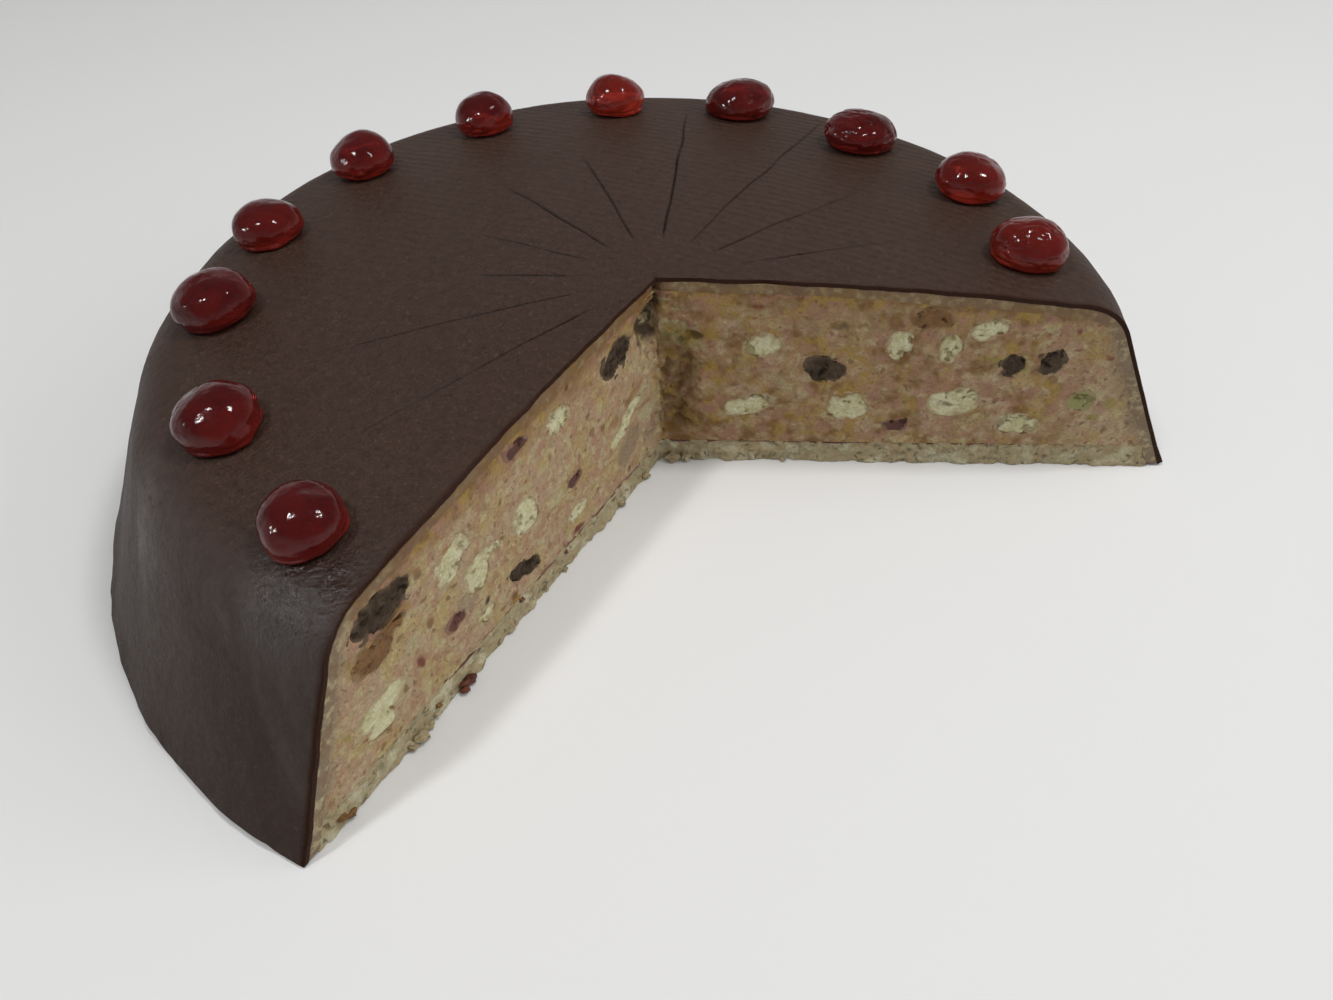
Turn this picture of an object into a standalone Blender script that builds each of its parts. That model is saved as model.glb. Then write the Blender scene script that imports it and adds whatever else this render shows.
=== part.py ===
"""A punch cake with five of its sixteen portions gone.

A sponge base, a line of jam, a punch filling with cubes of sponge and bits of fruit in it, a skin of
marzipan and a chocolate coat, with a ring of glace cherries. Metres, +Z up. The origin is on the table
under the middle of the cake, and the notch opens towards -Y.
"""

import math
from dataclasses import dataclass

import bmesh
import bpy
from mathutils import Matrix, Vector, noise

MM = 0.001

# Driving dimensions of the whole cake.
BASE_RADIUS = 140 * MM
HEIGHT = 57.6 * MM
DOME_RADIUS = 847 * MM  # of the shallow dome of the top
DOME_EDGE = 109 * MM  # from the axis to where the shoulder begins
SHOULDER_RADIUS = 14.7 * MM
LOBE_SHARE = 0.0081  # the rim is this much out of round, in three soft lobes
LOBE_PHASE = math.radians(98)

# The layers, from the table up and from the outside in.
GAP = 0.3 * MM  # between neighbours
COAT = 1.4 * MM
MARZIPAN = 2.2 * MM
COAT_FOOT = 0.35 * MM  # lower edge of the coat above the table
SPONGE_TOP = 5.8 * MM
JAM_LINE = 1.0 * MM
JAM_RADIUS = 112 * MM

# The notch, cut from its apex just in front of the axis.
PORTION = math.radians(22.5)
APEX = Vector((2.1, -8.4, 0)) * MM
NOTCH_HALF_ANGLE = math.radians(58.8)
FRONT = math.radians(270)
FACES = {"left": FRONT - NOTCH_HALF_ANGLE, "right": FRONT + NOTCH_HALF_ANGLE}
CUT_REACH = 190 * MM  # of the notch cutter, well past the rim
CUT_CELL = 5 * MM  # spacing of the cutter's grid over the faces
CUT_LOW, CUT_HIGH = -6 * MM, 70 * MM
CRUMB_SIZE = 6 * MM  # of the lumps that the knife leaves on a cut face
CRUMB_DEPTH = {"skin": 0.12 * MM, "filling": 0.55 * MM, "sponge": 1.1 * MM}
TORN_DEPTH, TORN_REACH = 6.5 * MM, 8 * MM  # the torn hollow at the apex
TORN_MIDDLE, TORN_TALL = 44 * MM, 7 * MM
RECESS_DEPTH = 2.5 * MM  # of the ragged corner under it

# Portion marks pressed into the coat with a knife, from the apex outwards.
MARK_WIDTH, MARK_DEPTH = 0.9 * MM, 0.7 * MM
MARK_INNER = 19 * MM
FIRST_MARK = -PORTION / 2
MARK_ENDS = (62 * MM, 70 * MM, 110 * MM, 105 * MM, 73 * MM, 66 * MM, 52 * MM, 48 * MM, 77 * MM, 81 * MM)
MARK_STEP = 30 * MM

# Glace cherries, one to a portion, anticlockwise from the left face: distance and angle from the apex,
# width across, height of its top above its widest ring, and how deep the dimple on top is.
CHERRY_PLACES = (
    (101.4, 200.6, 17.6, 5.5, 0.5),
    (102.4, 178.4, 18.8, 6.3, 0.4),
    (104.9, 153.0, 19.5, 6.7, 0.3),
    (106.9, 133.7, 17.7, 5.9, 0.4),
    (109.4, 112.1, 19.0, 6.7, 0.5),
    (107.2, 90.6, 17.3, 6.8, 0.3),
    (105.4, 68.5, 17.9, 7.0, 0.4),
    (104.6, 47.6, 20.8, 6.6, 0.6),
    (97.4, 24.3, 20.6, 5.7, 1.0),
    (98.1, 1.6, 19.0, 6.5, 0.7),
    (93.2, -19.7, 18.7, 6.4, 0.8),
)
CHERRY_RISE = 3.9 * MM  # its widest ring above the coat
CHERRY_LUMP = 0.09
CHERRY_SEGMENTS, CHERRY_RINGS = 12, 8

TURN_STEPS = 60
DOME_STEPS, SHOULDER_STEPS = 3, 3

CAKE_NAME = "punch_cake"
COLOURS = {  # base colour in linear light and roughness
    "chocolate": ((0.050, 0.028, 0.020), 0.42),
    "marzipan": ((0.42, 0.30, 0.17), 0.6),
    "filling": ((0.47, 0.32, 0.21), 0.7),
    "jam": ((0.16, 0.035, 0.02), 0.35),
    "sponge": ((0.45, 0.38, 0.21), 0.85),
    "cherry": ((0.22, 0.008, 0.01), 0.12),
    "pale_chunk": ((0.66, 0.58, 0.33), 0.85),
    "dark_chunk": ((0.075, 0.045, 0.03), 0.8),
    "soaked_chunk": ((0.30, 0.14, 0.05), 0.7),
    "green_chunk": ((0.36, 0.38, 0.12), 0.7),
    "fruit_piece": ((0.17, 0.06, 0.055), 0.4),
}


@dataclass(frozen=True)
class Chunk:
    """A piece in the filling that a cut face shows; sizes and places in millimetres."""

    kind: str
    face: str
    along: float  # from the apex, along the cut
    up: float
    long: float
    tall: float
    tilt: float = 0.0  # degrees, outer end up


CHUNKS = (
    Chunk("dark_chunk", "left", 18.5, 46, 12, 8),
    Chunk("pale_chunk", "left", 43, 44.5, 9, 7),
    Chunk("fruit_piece", "left", 58, 48.3, 8, 3.6),
    Chunk("pale_chunk", "left", 83.5, 36.5, 11, 9.5),
    Chunk("dark_chunk", "left", 103, 41.4, 16, 7.4),
    Chunk("soaked_chunk", "left", 106, 32.8, 13, 5.2),
    Chunk("pale_chunk", "left", 59, 28.5, 8, 9),
    Chunk("pale_chunk", "left", 75, 27, 11, 8.4, -10),
    Chunk("fruit_piece", "left", 85.5, 20, 6, 3.6),
    Chunk("pale_chunk", "left", 109, 17.5, 14, 8.6),
    Chunk("dark_chunk", "left", 61.5, 14, 11, 4.6, 22),
    Chunk("fruit_piece", "left", 39.5, 24, 6, 3.4),
    Chunk("pale_chunk", "left", 16.5, 24, 15, 5, -20),
    Chunk("pale_chunk", "left", 39.5, 13.2, 8, 4.4),
    Chunk("pale_chunk", "left", 76, 13, 6, 3.6),
    Chunk("pale_chunk", "right", 60, 38.5, 5.4, 8),
    Chunk("soaked_chunk", "right", 67, 46, 10, 5.6),
    Chunk("pale_chunk", "right", 72.5, 37, 4.6, 8),
    Chunk("pale_chunk", "right", 81, 43, 9, 4.8, 24),
    Chunk("dark_chunk", "right", 89, 33, 6.4, 7),
    Chunk("dark_chunk", "right", 98, 33.5, 6.6, 6.4),
    Chunk("green_chunk", "right", 108, 21.5, 6.4, 6),
    Chunk("pale_chunk", "right", 26, 38, 9, 6, 15),
    Chunk("dark_chunk", "right", 42, 31, 10, 6.6, -15),
    Chunk("pale_chunk", "right", 49, 19, 9, 8),
    Chunk("pale_chunk", "right", 76, 21, 12, 8, 10),
    Chunk("fruit_piece", "right", 62, 13, 6, 3.8),
    Chunk("pale_chunk", "right", 93, 14, 11, 5.6),
    Chunk("pale_chunk", "right", 23, 19, 12, 5, 20),
)
CHUNK_DEPTH = 3.6 * MM  # half of what a chunk measures across the cut
CHUNK_SINK = 0.8 * MM  # its middle behind the face
CHUNK_LUMP = 0.25
CHUNK_SEGMENTS, CHUNK_RINGS = 10, 3
SQUARE = {"pale_chunk": 0.72, "dark_chunk": 0.82}  # below 1 a chunk is more a cube than a ball


def clear_scene():
    """Removes every object of the startup scene."""
    for obj in list(bpy.data.objects):
        bpy.data.objects.remove(obj)


def new_collection(name):
    """A collection in the scene."""
    collection = bpy.data.collections.new(name)
    bpy.context.scene.collection.children.link(collection)
    return collection


def material(name):
    """The finish called name in COLOURS."""
    found = bpy.data.materials.get(name)
    if found:
        return found
    colour, roughness = COLOURS[name]
    made = bpy.data.materials.new(name)
    made.use_nodes = True
    shader = made.node_tree.nodes["Principled BSDF"]
    shader.inputs["Base Color"].default_value = (*colour, 1)
    shader.inputs["Roughness"].default_value = roughness
    shader.inputs["Metallic"].default_value = 0
    return made


def new_object(name, mesh, collection, finish=None):
    """An object of this mesh in the collection, with its finish."""
    mesh.name = name
    obj = bpy.data.objects.new(name, mesh)
    collection.objects.link(obj)
    if finish:
        mesh.materials.clear()
        mesh.materials.append(material(finish))
        mesh.shade_smooth()
        mesh.set_sharp_from_angle(angle=math.radians(35))
    return obj


def mesh_of(bm):
    """The bmesh as a mesh with its faces pointing out; the bmesh is freed."""
    bmesh.ops.recalc_face_normals(bm, faces=bm.faces)
    mesh = bpy.data.meshes.new("mesh")
    bm.to_mesh(mesh)
    bm.free()
    return mesh


def cut(obj, cutters):
    """Takes the cutters, an object or a collection of them, out of the object."""
    modifier = obj.modifiers.new("cut", "BOOLEAN")
    modifier.operation = "DIFFERENCE"
    modifier.solver = "EXACT"
    if isinstance(cutters, bpy.types.Collection):
        modifier.operand_type = "COLLECTION"
        modifier.collection = cutters
    else:
        modifier.object = cutters


def hide(obj):
    """Marks a cutter, which isn't part of the cake."""
    obj.hide_render = True
    obj.display_type = "WIRE"


# --- The skin: a dome, a round shoulder and a sloping wall, turned about the axis ---


def rim_scale(x, y):
    """How far out the skin lies in this direction, as a share of a true circle."""
    return 1 + LOBE_SHARE * math.cos(3 * math.atan2(y, x) + LOBE_PHASE)


def arc(centre, radius, first, last, steps):
    """Points (radius, height) on a circle, by angle from straight up."""
    angles = [first + (last - first) * i / steps for i in range(steps + 1)]
    return [(centre[0] + radius * math.sin(a), centre[1] + radius * math.cos(a)) for a in angles]


def skin_angles():
    """The slopes where the dome meets the shoulder and where the shoulder meets the wall, and the
    shoulder's centre as (radius, height)."""
    dome_end = math.asin(DOME_EDGE / DOME_RADIUS)
    reach = DOME_RADIUS - SHOULDER_RADIUS
    centre = (reach * math.sin(dome_end), HEIGHT - DOME_RADIUS + reach * math.cos(dome_end))
    to_base = math.hypot(BASE_RADIUS - centre[0], centre[1])
    wall = math.atan2(centre[1], BASE_RADIUS - centre[0]) + math.asin(SHOULDER_RADIUS / to_base)
    return dome_end, wall, centre


def skin_profile(inset, low):
    """The skin this far under the surface, from the middle of the top out and down to height low."""
    dome_end, wall, centre = skin_angles()
    dome = arc((0, HEIGHT - DOME_RADIUS), DOME_RADIUS - inset, 0, dome_end, DOME_STEPS)
    shoulder = arc(centre, SHOULDER_RADIUS - inset, dome_end, wall, SHOULDER_STEPS)
    radius, height = shoulder[-1]
    foot = (radius + (height - low) / math.tan(wall), low)
    return dome + shoulder[1:] + [foot]


def skin_height(x, y):
    """Height of the coat's top over this point of the dome."""
    radius = math.hypot(x, y) / rim_scale(x, y)
    return HEIGHT - DOME_RADIUS + math.sqrt(DOME_RADIUS**2 - radius**2)


def skin_depth(point):
    """How far under the surface a point of a cut face lies."""
    _, wall, centre = skin_angles()
    radius = math.hypot(point.x, point.y) / rim_scale(point.x, point.y)
    across = (radius - centre[0]) * math.sin(wall) + (point.z - centre[1]) * math.cos(wall)
    return min(skin_height(point.x, point.y) - point.z, SHOULDER_RADIUS - across)


def wall_radius(inset, height):
    """Radius of the skin's sloping wall at this height, this far under the surface."""
    return skin_profile(inset, height)[-1][0]


def turned(name, profile, collection, finish):
    """The profile, which starts and ends on the axis, turned into a closed solid with the rim's lobes."""
    points = [(radius, 0, height) for radius, height in profile]
    outline = bpy.data.meshes.new(name)
    outline.from_pydata(points, [(i, i + 1) for i in range(len(points) - 1)], [])
    guide = bpy.data.objects.new(name, outline)
    collection.objects.link(guide)
    screw = guide.modifiers.new("turn", "SCREW")
    screw.steps = screw.render_steps = TURN_STEPS
    screw.use_merge_vertices = True
    screw.merge_threshold = 1e-6
    mesh = bpy.data.meshes.new_from_object(guide.evaluated_get(bpy.context.evaluated_depsgraph_get()))
    bpy.data.objects.remove(guide)
    for vertex in mesh.vertices:
        scale = rim_scale(vertex.co.x, vertex.co.y)
        vertex.co.x *= scale
        vertex.co.y *= scale
    return new_object(name, mesh, collection, finish)


def layers(cake):
    """The five layers, whole; returns them by name."""
    skin_in = COAT + GAP
    inner = skin_in + MARZIPAN + GAP
    jam_low = SPONGE_TOP + GAP
    filling_low = jam_low + JAM_LINE + GAP
    sponge = [
        (0, SPONGE_TOP),
        (wall_radius(inner, SPONGE_TOP), SPONGE_TOP),
        (wall_radius(inner, 0), 0),
        (0, 0),
    ]
    jam_top = jam_low + JAM_LINE
    jam = [(0, jam_top), (JAM_RADIUS, jam_top), (JAM_RADIUS, jam_low), (0, jam_low)]
    coat = skin_profile(0, COAT_FOOT) + skin_profile(COAT, COAT_FOOT)[::-1]
    marzipan_foot = COAT_FOOT + GAP
    marzipan = skin_profile(skin_in, marzipan_foot) + skin_profile(skin_in + MARZIPAN, marzipan_foot)[::-1]
    step = JAM_RADIUS + GAP  # outside the jam the filling sits on the sponge
    filling = skin_profile(inner, jam_low) + [(step, jam_low), (step, filling_low), (0, filling_low)]
    return {
        "chocolate_coat": turned("chocolate_coat", coat, cake, "chocolate"),
        "marzipan_layer": turned("marzipan_layer", marzipan, cake, "marzipan"),
        "punch_filling": turned("punch_filling", filling, cake, "filling"),
        "jam_layer": turned("jam_layer", jam, cake, "jam"),
        "sponge_base": turned("sponge_base", sponge, cake, "sponge"),
    }


# --- The notch and the portion marks ---


def loft(rings):
    """A closed mesh through rings of as many points each, capped at both ends."""
    bm = bmesh.new()
    loops = [[bm.verts.new(point) for point in ring] for ring in rings]
    for low, high in zip(loops, loops[1:]):
        for i in range(len(low)):
            j = (i + 1) % len(low)
            bm.faces.new((low[i], low[j], high[j], high[i]))
    bm.faces.new(loops[0][::-1])
    bm.faces.new(loops[-1])
    bmesh.ops.triangulate(bm, faces=bm.faces)
    return mesh_of(bm)


def direction(angle):
    """The level unit vector at this angle from +X."""
    return Vector((math.cos(angle), math.sin(angle), 0))


def face_axes(face):
    """Unit vectors of a cut face: along it from the apex, and into the cake."""
    along = direction(FACES[face])
    quarter = math.radians(-90 if face == "left" else 90)
    return along, direction(FACES[face] + quarter)


def bite(face, along, height):
    """How far the knife strays into the cake here: crumbs, and the torn hollow at the apex."""
    spot = APEX + face_axes(face)[0] * along + Vector((0, 0, height))
    if height < SPONGE_TOP:
        depth = CRUMB_DEPTH["sponge"]
    elif skin_depth(spot) < COAT + MARZIPAN:
        depth = CRUMB_DEPTH["skin"]
    else:
        depth = CRUMB_DEPTH["filling"]
    stray = depth * noise.noise(spot / CRUMB_SIZE)
    near = math.exp(-((along / TORN_REACH) ** 2))
    torn = TORN_DEPTH * math.exp(-(((height - TORN_MIDDLE) / TORN_TALL) ** 2))
    under = RECESS_DEPTH * (1 + noise.noise(spot / CRUMB_SIZE * 1.5)) * (height < TORN_MIDDLE)
    return stray + near * max(torn, under)


def cut_row(height):
    """One level of the notch cutter: from the left end in to the apex and out again."""
    steps = round(BASE_RADIUS / CUT_CELL)
    stations = [CUT_CELL * i for i in range(steps + 1)] + [CUT_REACH]
    row = [APEX + direction(FRONT) * 1.5 * CUT_REACH + Vector((0, 0, height))]
    for face, order in (("left", stations[:0:-1]), ("right", stations)):
        along, inward = face_axes(face)
        for station in order:
            turn = min(1, station / TORN_REACH)  # at the apex the bite goes straight back
            into = (inward * turn + direction(FRONT) * (turn - 1)).normalized()
            row.append(APEX + along * station + into * bite(face, station, height) + Vector((0, 0, height)))
    return row


def notch(cutters):
    """The cutter of the missing portions, with the ragged faces that the knife left."""
    count = round((CUT_HIGH - CUT_LOW) / CUT_CELL)
    rows = [cut_row(CUT_LOW + (CUT_HIGH - CUT_LOW) * i / count) for i in range(count + 1)]
    obj = new_object("notch_cutter", loft(rows), cutters)
    hide(obj)
    return obj


def mark_ring(angle, distance, depth):
    """The V of a portion mark at this distance from the apex."""
    middle = APEX + direction(angle) * distance
    side = direction(angle + math.pi / 2)
    middle.z = skin_height(middle.x, middle.y)
    lift = Vector((0, 0, MARK_DEPTH))
    half = side * MARK_WIDTH * (0.5 + 0.5 * depth / MARK_DEPTH)
    return [middle - Vector((0, 0, depth)), middle + lift + half, middle + lift - half]


def marks(cutters):
    """A blade for each portion mark, following the dome."""
    group = bpy.data.collections.new("mark_cutters")
    cutters.children.link(group)
    for index, end in enumerate(MARK_ENDS):
        angle = FIRST_MARK + PORTION * index
        steps = max(2, round((end - MARK_INNER) / MARK_STEP))
        rings = []
        for i in range(steps + 1):
            depth = MARK_DEPTH * (1 if 0 < i < steps else 0.25)
            rings.append(mark_ring(angle, MARK_INNER + (end - MARK_INNER) * i / steps, depth))
        hide(new_object(f"mark_cutter_{index + 1:02d}", loft(rings), group))
    return group


# --- What sits in the filling and on top ---


def chunk_mesh(chunk, index, grow):
    """A lumpy piece, a ball or nearly a cube, this much larger all round."""
    bm = bmesh.new()
    bmesh.ops.create_uvsphere(bm, u_segments=CHUNK_SEGMENTS, v_segments=CHUNK_RINGS, radius=1)
    bmesh.ops.rotate(bm, matrix=Matrix.Rotation(math.radians(90), 3, "X"), verts=bm.verts)
    bmesh.ops.triangulate(bm, faces=bm.faces)
    along, inward = face_axes(chunk.face)
    half = (chunk.long * MM / 2, CHUNK_DEPTH, chunk.tall * MM / 2)
    square = SQUARE.get(chunk.kind, 1)
    for vertex in bm.verts:
        lump = 1 + CHUNK_LUMP * noise.noise(vertex.co * 1.4 + Vector((index * 7.3, 0, 0)))
        vertex.co = Vector(
            lump * size * math.copysign(abs(value) ** square, value)
            for value, size in zip(vertex.co, half)
        )
    axes = Matrix((along, inward, Vector((0, 0, 1)))).transposed()
    tilt = Matrix.Rotation(-math.radians(chunk.tilt), 3, "Y")
    place = APEX + along * chunk.along * MM + inward * CHUNK_SINK + Vector((0, 0, chunk.up * MM))
    bmesh.ops.transform(bm, matrix=Matrix.Translation(place) @ (axes @ tilt).to_4x4(), verts=bm.verts)
    bmesh.ops.recalc_face_normals(bm, faces=bm.faces)
    bm.normal_update()
    for vertex in bm.verts:
        vertex.co += vertex.normal * vertex.calc_shell_factor() * grow
    return mesh_of(bm)


def chunks(cake, cutters, notch_cutter):
    """The pieces that the cuts show, flush with the faces; returns the cutters of their pockets."""
    pockets = bpy.data.collections.new("pocket_cutters")
    cutters.children.link(pockets)
    counts = {}
    for index, chunk in enumerate(CHUNKS):
        number = counts[chunk.kind] = counts.get(chunk.kind, 0) + 1
        name = f"{chunk.kind}_{number:02d}"
        piece = new_object(name, chunk_mesh(chunk, index, 0), cake, chunk.kind)
        cut(piece, notch_cutter)
        hide(new_object(f"pocket_{index + 1:02d}", chunk_mesh(chunk, index, GAP), pockets))
    return pockets


def cherry(cake, index, place):
    """A glace cherry: a squashed, lumpy ball with a dimple and a flat underside, square to the coat."""
    distance, angle, width, crown, dimple = place
    bm = bmesh.new()
    bmesh.ops.create_uvsphere(bm, u_segments=CHERRY_SEGMENTS, v_segments=CHERRY_RINGS, radius=1)
    dent_at = Vector((0.35, -0.3, 0.85)).normalized()
    for vertex in bm.verts:
        ball = vertex.co.copy()
        lump = 1 + CHERRY_LUMP * noise.noise(ball * 1.1 + Vector((0, index * 5.1, 0)))
        lump -= dimple / crown * math.exp(-((ball - dent_at).length / 0.45) ** 2)
        vertex.co = Vector((ball.x * width / 2, ball.y * width / 2, ball.z * crown)) * lump * MM
        vertex.co.z = max(vertex.co.z, GAP * 1.2 - CHERRY_RISE)
    foot = APEX + direction(math.radians(angle)) * distance * MM
    foot.z = skin_height(foot.x, foot.y)
    lean = Vector((foot.x, foot.y, foot.z + DOME_RADIUS - HEIGHT)).normalized()
    turn = lean.to_track_quat("Z", "Y").to_matrix() @ Matrix.Rotation(index * 2.4, 3, "Z")
    place = Matrix.Translation(foot + lean * CHERRY_RISE) @ turn.to_4x4()
    bmesh.ops.transform(bm, matrix=place, verts=bm.verts)
    new_object(f"cherry_{index:02d}", mesh_of(bm), cake, "cherry")


def main():
    """Builds the cake."""
    clear_scene()
    cake = new_collection(CAKE_NAME)
    cutters = new_collection("cutters")
    notch_cutter = notch(cutters)
    layer = layers(cake)
    for obj in layer.values():
        cut(obj, notch_cutter)
    cut(layer["chocolate_coat"], marks(cutters))
    cut(layer["punch_filling"], chunks(cake, cutters, notch_cutter))
    for index, place in enumerate(CHERRY_PLACES, start=1):
        cherry(cake, index, place)


main()
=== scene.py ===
"""The looks of a round punch cake with five of its sixteen portions gone.

Each layer of the cake is a class with its sizes as fields, in millimetres, and builds one closed mesh on a grid
worked out with numpy. Each finish is a small frozen class that makes one procedural material. +Z is up, the origin
is on the table under the middle of the cake, and the notch opens towards -Y.
"""

import logging
import math
from collections.abc import Iterable
from dataclasses import dataclass, field
from enum import Enum
from functools import reduce

import bpy
import numpy as np
from mathutils import Matrix, Vector


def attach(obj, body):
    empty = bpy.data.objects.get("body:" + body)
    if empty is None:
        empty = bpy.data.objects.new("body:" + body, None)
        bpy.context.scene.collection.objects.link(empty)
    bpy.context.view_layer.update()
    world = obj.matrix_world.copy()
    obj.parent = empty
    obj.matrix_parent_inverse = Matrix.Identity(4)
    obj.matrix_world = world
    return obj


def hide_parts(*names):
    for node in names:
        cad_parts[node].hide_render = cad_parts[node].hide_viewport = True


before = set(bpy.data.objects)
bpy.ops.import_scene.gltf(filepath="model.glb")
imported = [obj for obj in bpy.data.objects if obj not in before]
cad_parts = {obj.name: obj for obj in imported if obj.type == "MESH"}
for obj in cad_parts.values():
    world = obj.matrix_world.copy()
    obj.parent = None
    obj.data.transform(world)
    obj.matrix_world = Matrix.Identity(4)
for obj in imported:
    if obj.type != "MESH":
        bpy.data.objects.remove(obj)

Array = np.ndarray
Colour = tuple[float, float, float]
Socket = bpy.types.NodeSocket
Value = Socket | float | Colour
MM = 0.001
log = logging.getLogger("punch_cake")


class Cut(Enum):
    """The two cut faces of the notch, by the angle of each from +X, in radians."""

    LEFT = math.radians(211.2)
    RIGHT = math.radians(-31.2)


# --- Repeatable noise, worked out for whole arrays of points ---


def cell_random(cells: Array, seed: int) -> Array:
    """A fixed random number for each whole-numbered cell: its three indices are mixed by a bit hash.

    Args:
        cells: whole numbers, last axis x, y, z.
        seed: another seed gives other numbers.

    Returns:
        Numbers from 0 to 1, one for each cell.
    """
    c = cells.astype(np.int64).astype(np.uint32)
    with np.errstate(over="ignore"):
        h = c[..., 0] * np.uint32(0x8DA6B343) ^ c[..., 1] * np.uint32(0xD8163841) ^ c[..., 2] * np.uint32(0xCB1AB31F)
        h = h ^ np.uint32((seed * 0x9E3779B1) & 0xFFFFFFFF)
        h = (h ^ (h >> np.uint32(15))) * np.uint32(0x2C1B3C6D)
        h = (h ^ (h >> np.uint32(12))) * np.uint32(0x297A2D39)
        h = h ^ (h >> np.uint32(15))
    return h.astype(np.float64) / 4294967295.0


def soft_noise(points: Array, size: float, seed: int) -> Array:
    """Value noise: random numbers at lattice corners, blended with a smooth step along each axis.

    Args:
        points: places in millimetres, last axis x, y, z.
        size: the lattice's spacing in millimetres.
        seed: which noise.

    Returns:
        Values from -1 to 1.
    """
    p = points / size
    low = np.floor(p)
    f = p - low
    f = f * f * (3 - 2 * f)
    total = np.zeros(p.shape[:-1])
    for corner in range(8):
        step = np.array([corner & 1, corner >> 1 & 1, corner >> 2 & 1])
        weight = np.prod(np.where(step == 1, f, 1 - f), axis=-1)
        total += weight * cell_random(low + step, seed)
    return 2 * total - 1


def crumb_noise(points: Array, size: float, octaves: int, seed: int) -> Array:
    """Fractal noise: each octave is half as large and 0.55 as strong as the one before.

    Args:
        points: places in millimetres.
        size: the largest lumps' size in millimetres.
        octaves: how many sizes are added.
        seed: which noise.

    Returns:
        Values of about -1 to 1.
    """
    total, weight, sum_of_weights = 0.0, 1.0, 0.0
    for octave in range(octaves):
        total = total + weight * soft_noise(points + 31.7 * octave, size / 2**octave, seed + octave)
        sum_of_weights += weight
        weight *= 0.55
    return 1.6 * total / sum_of_weights


def pores(points: Array, size: float, share: float, seed: int) -> Array:
    """Round holes: one centre strays in each cell, and a hole falls off as a bell from the nearest open centre.

    Args:
        points: places in millimetres.
        size: the cells' size in millimetres.
        share: the share of cells that hold an open pore.
        seed: which pores.

    Returns:
        0 outside the pores up to 1 at their middles.
    """
    p = points / size
    base = np.floor(p)
    deepest = np.zeros(p.shape[:-1])
    for near in range(27):
        cell = base + np.array([near % 3 - 1, near // 3 % 3 - 1, near // 9 - 1])
        stray = np.stack([cell_random(cell, seed + axis) for axis in range(3)], axis=-1)
        distance = np.linalg.norm(p - cell - 0.15 - 0.7 * stray, axis=-1)
        chance = cell_random(cell, seed + 3)
        radius = 0.22 + 0.3 * cell_random(cell, seed + 4)
        deepest = np.maximum(deepest, (chance < share) * np.exp(-((distance / radius) ** 2)))
    return deepest


def smooth(low: float, high: float, values: Array) -> Array:
    """0 below low, 1 above high and a smooth step between."""
    t = np.clip((values - low) / (high - low), 0, 1)
    return t * t * (3 - 2 * t)


def profile_rows(dome: int, shoulder: int, wall: int) -> Array:
    """Places along the skin's profile: the dome from 0 to 1, the shoulder from 1 to 2 and the wall from 2 to 3.

    Args:
        dome: how many rows over the dome.
        shoulder: how many round the shoulder.
        wall: how many down the wall.

    Returns:
        The places, each bound once.
    """
    return np.concatenate(
        [np.linspace(0, 1, dome)[:-1], np.linspace(1, 2, shoulder)[:-1], np.linspace(2, 3, wall)]
    )


def unit_ball(rings: int, segments: int, start: float = 0.0, fullness: float = 2.0) -> Array:
    """Points of a ball of radius 1, ring by ring from the lowest up, and then its two poles.

    A ring at the angle u from level has the radius cos u above the middle, and (1 - |sin u|^f)^(1/f) below it.

    Args:
        rings: how many rings.
        segments: points in each ring.
        start: angle of the first point of each ring.
        fullness: the exponent f of the lower half, where 2 is round.

    Returns:
        The points, last axis x, y, z.
    """
    up = np.linspace(-math.pi / 2, math.pi / 2, rings + 2)[1:-1]
    turn = np.linspace(0, 2 * math.pi, segments, endpoint=False) + start
    girth = np.where(up < 0, (1 - np.abs(np.sin(up)) ** fullness) ** (1 / fullness), np.cos(up))[:, None]
    level = np.broadcast_to(np.sin(up)[:, None], (rings, segments))
    points = np.stack([girth * np.cos(turn), girth * np.sin(turn), level], axis=-1).reshape(-1, 3)
    return np.concatenate([points, [[0, 0, -1.0], [0, 0, 1.0]]])


# --- The cake's form ---


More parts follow.
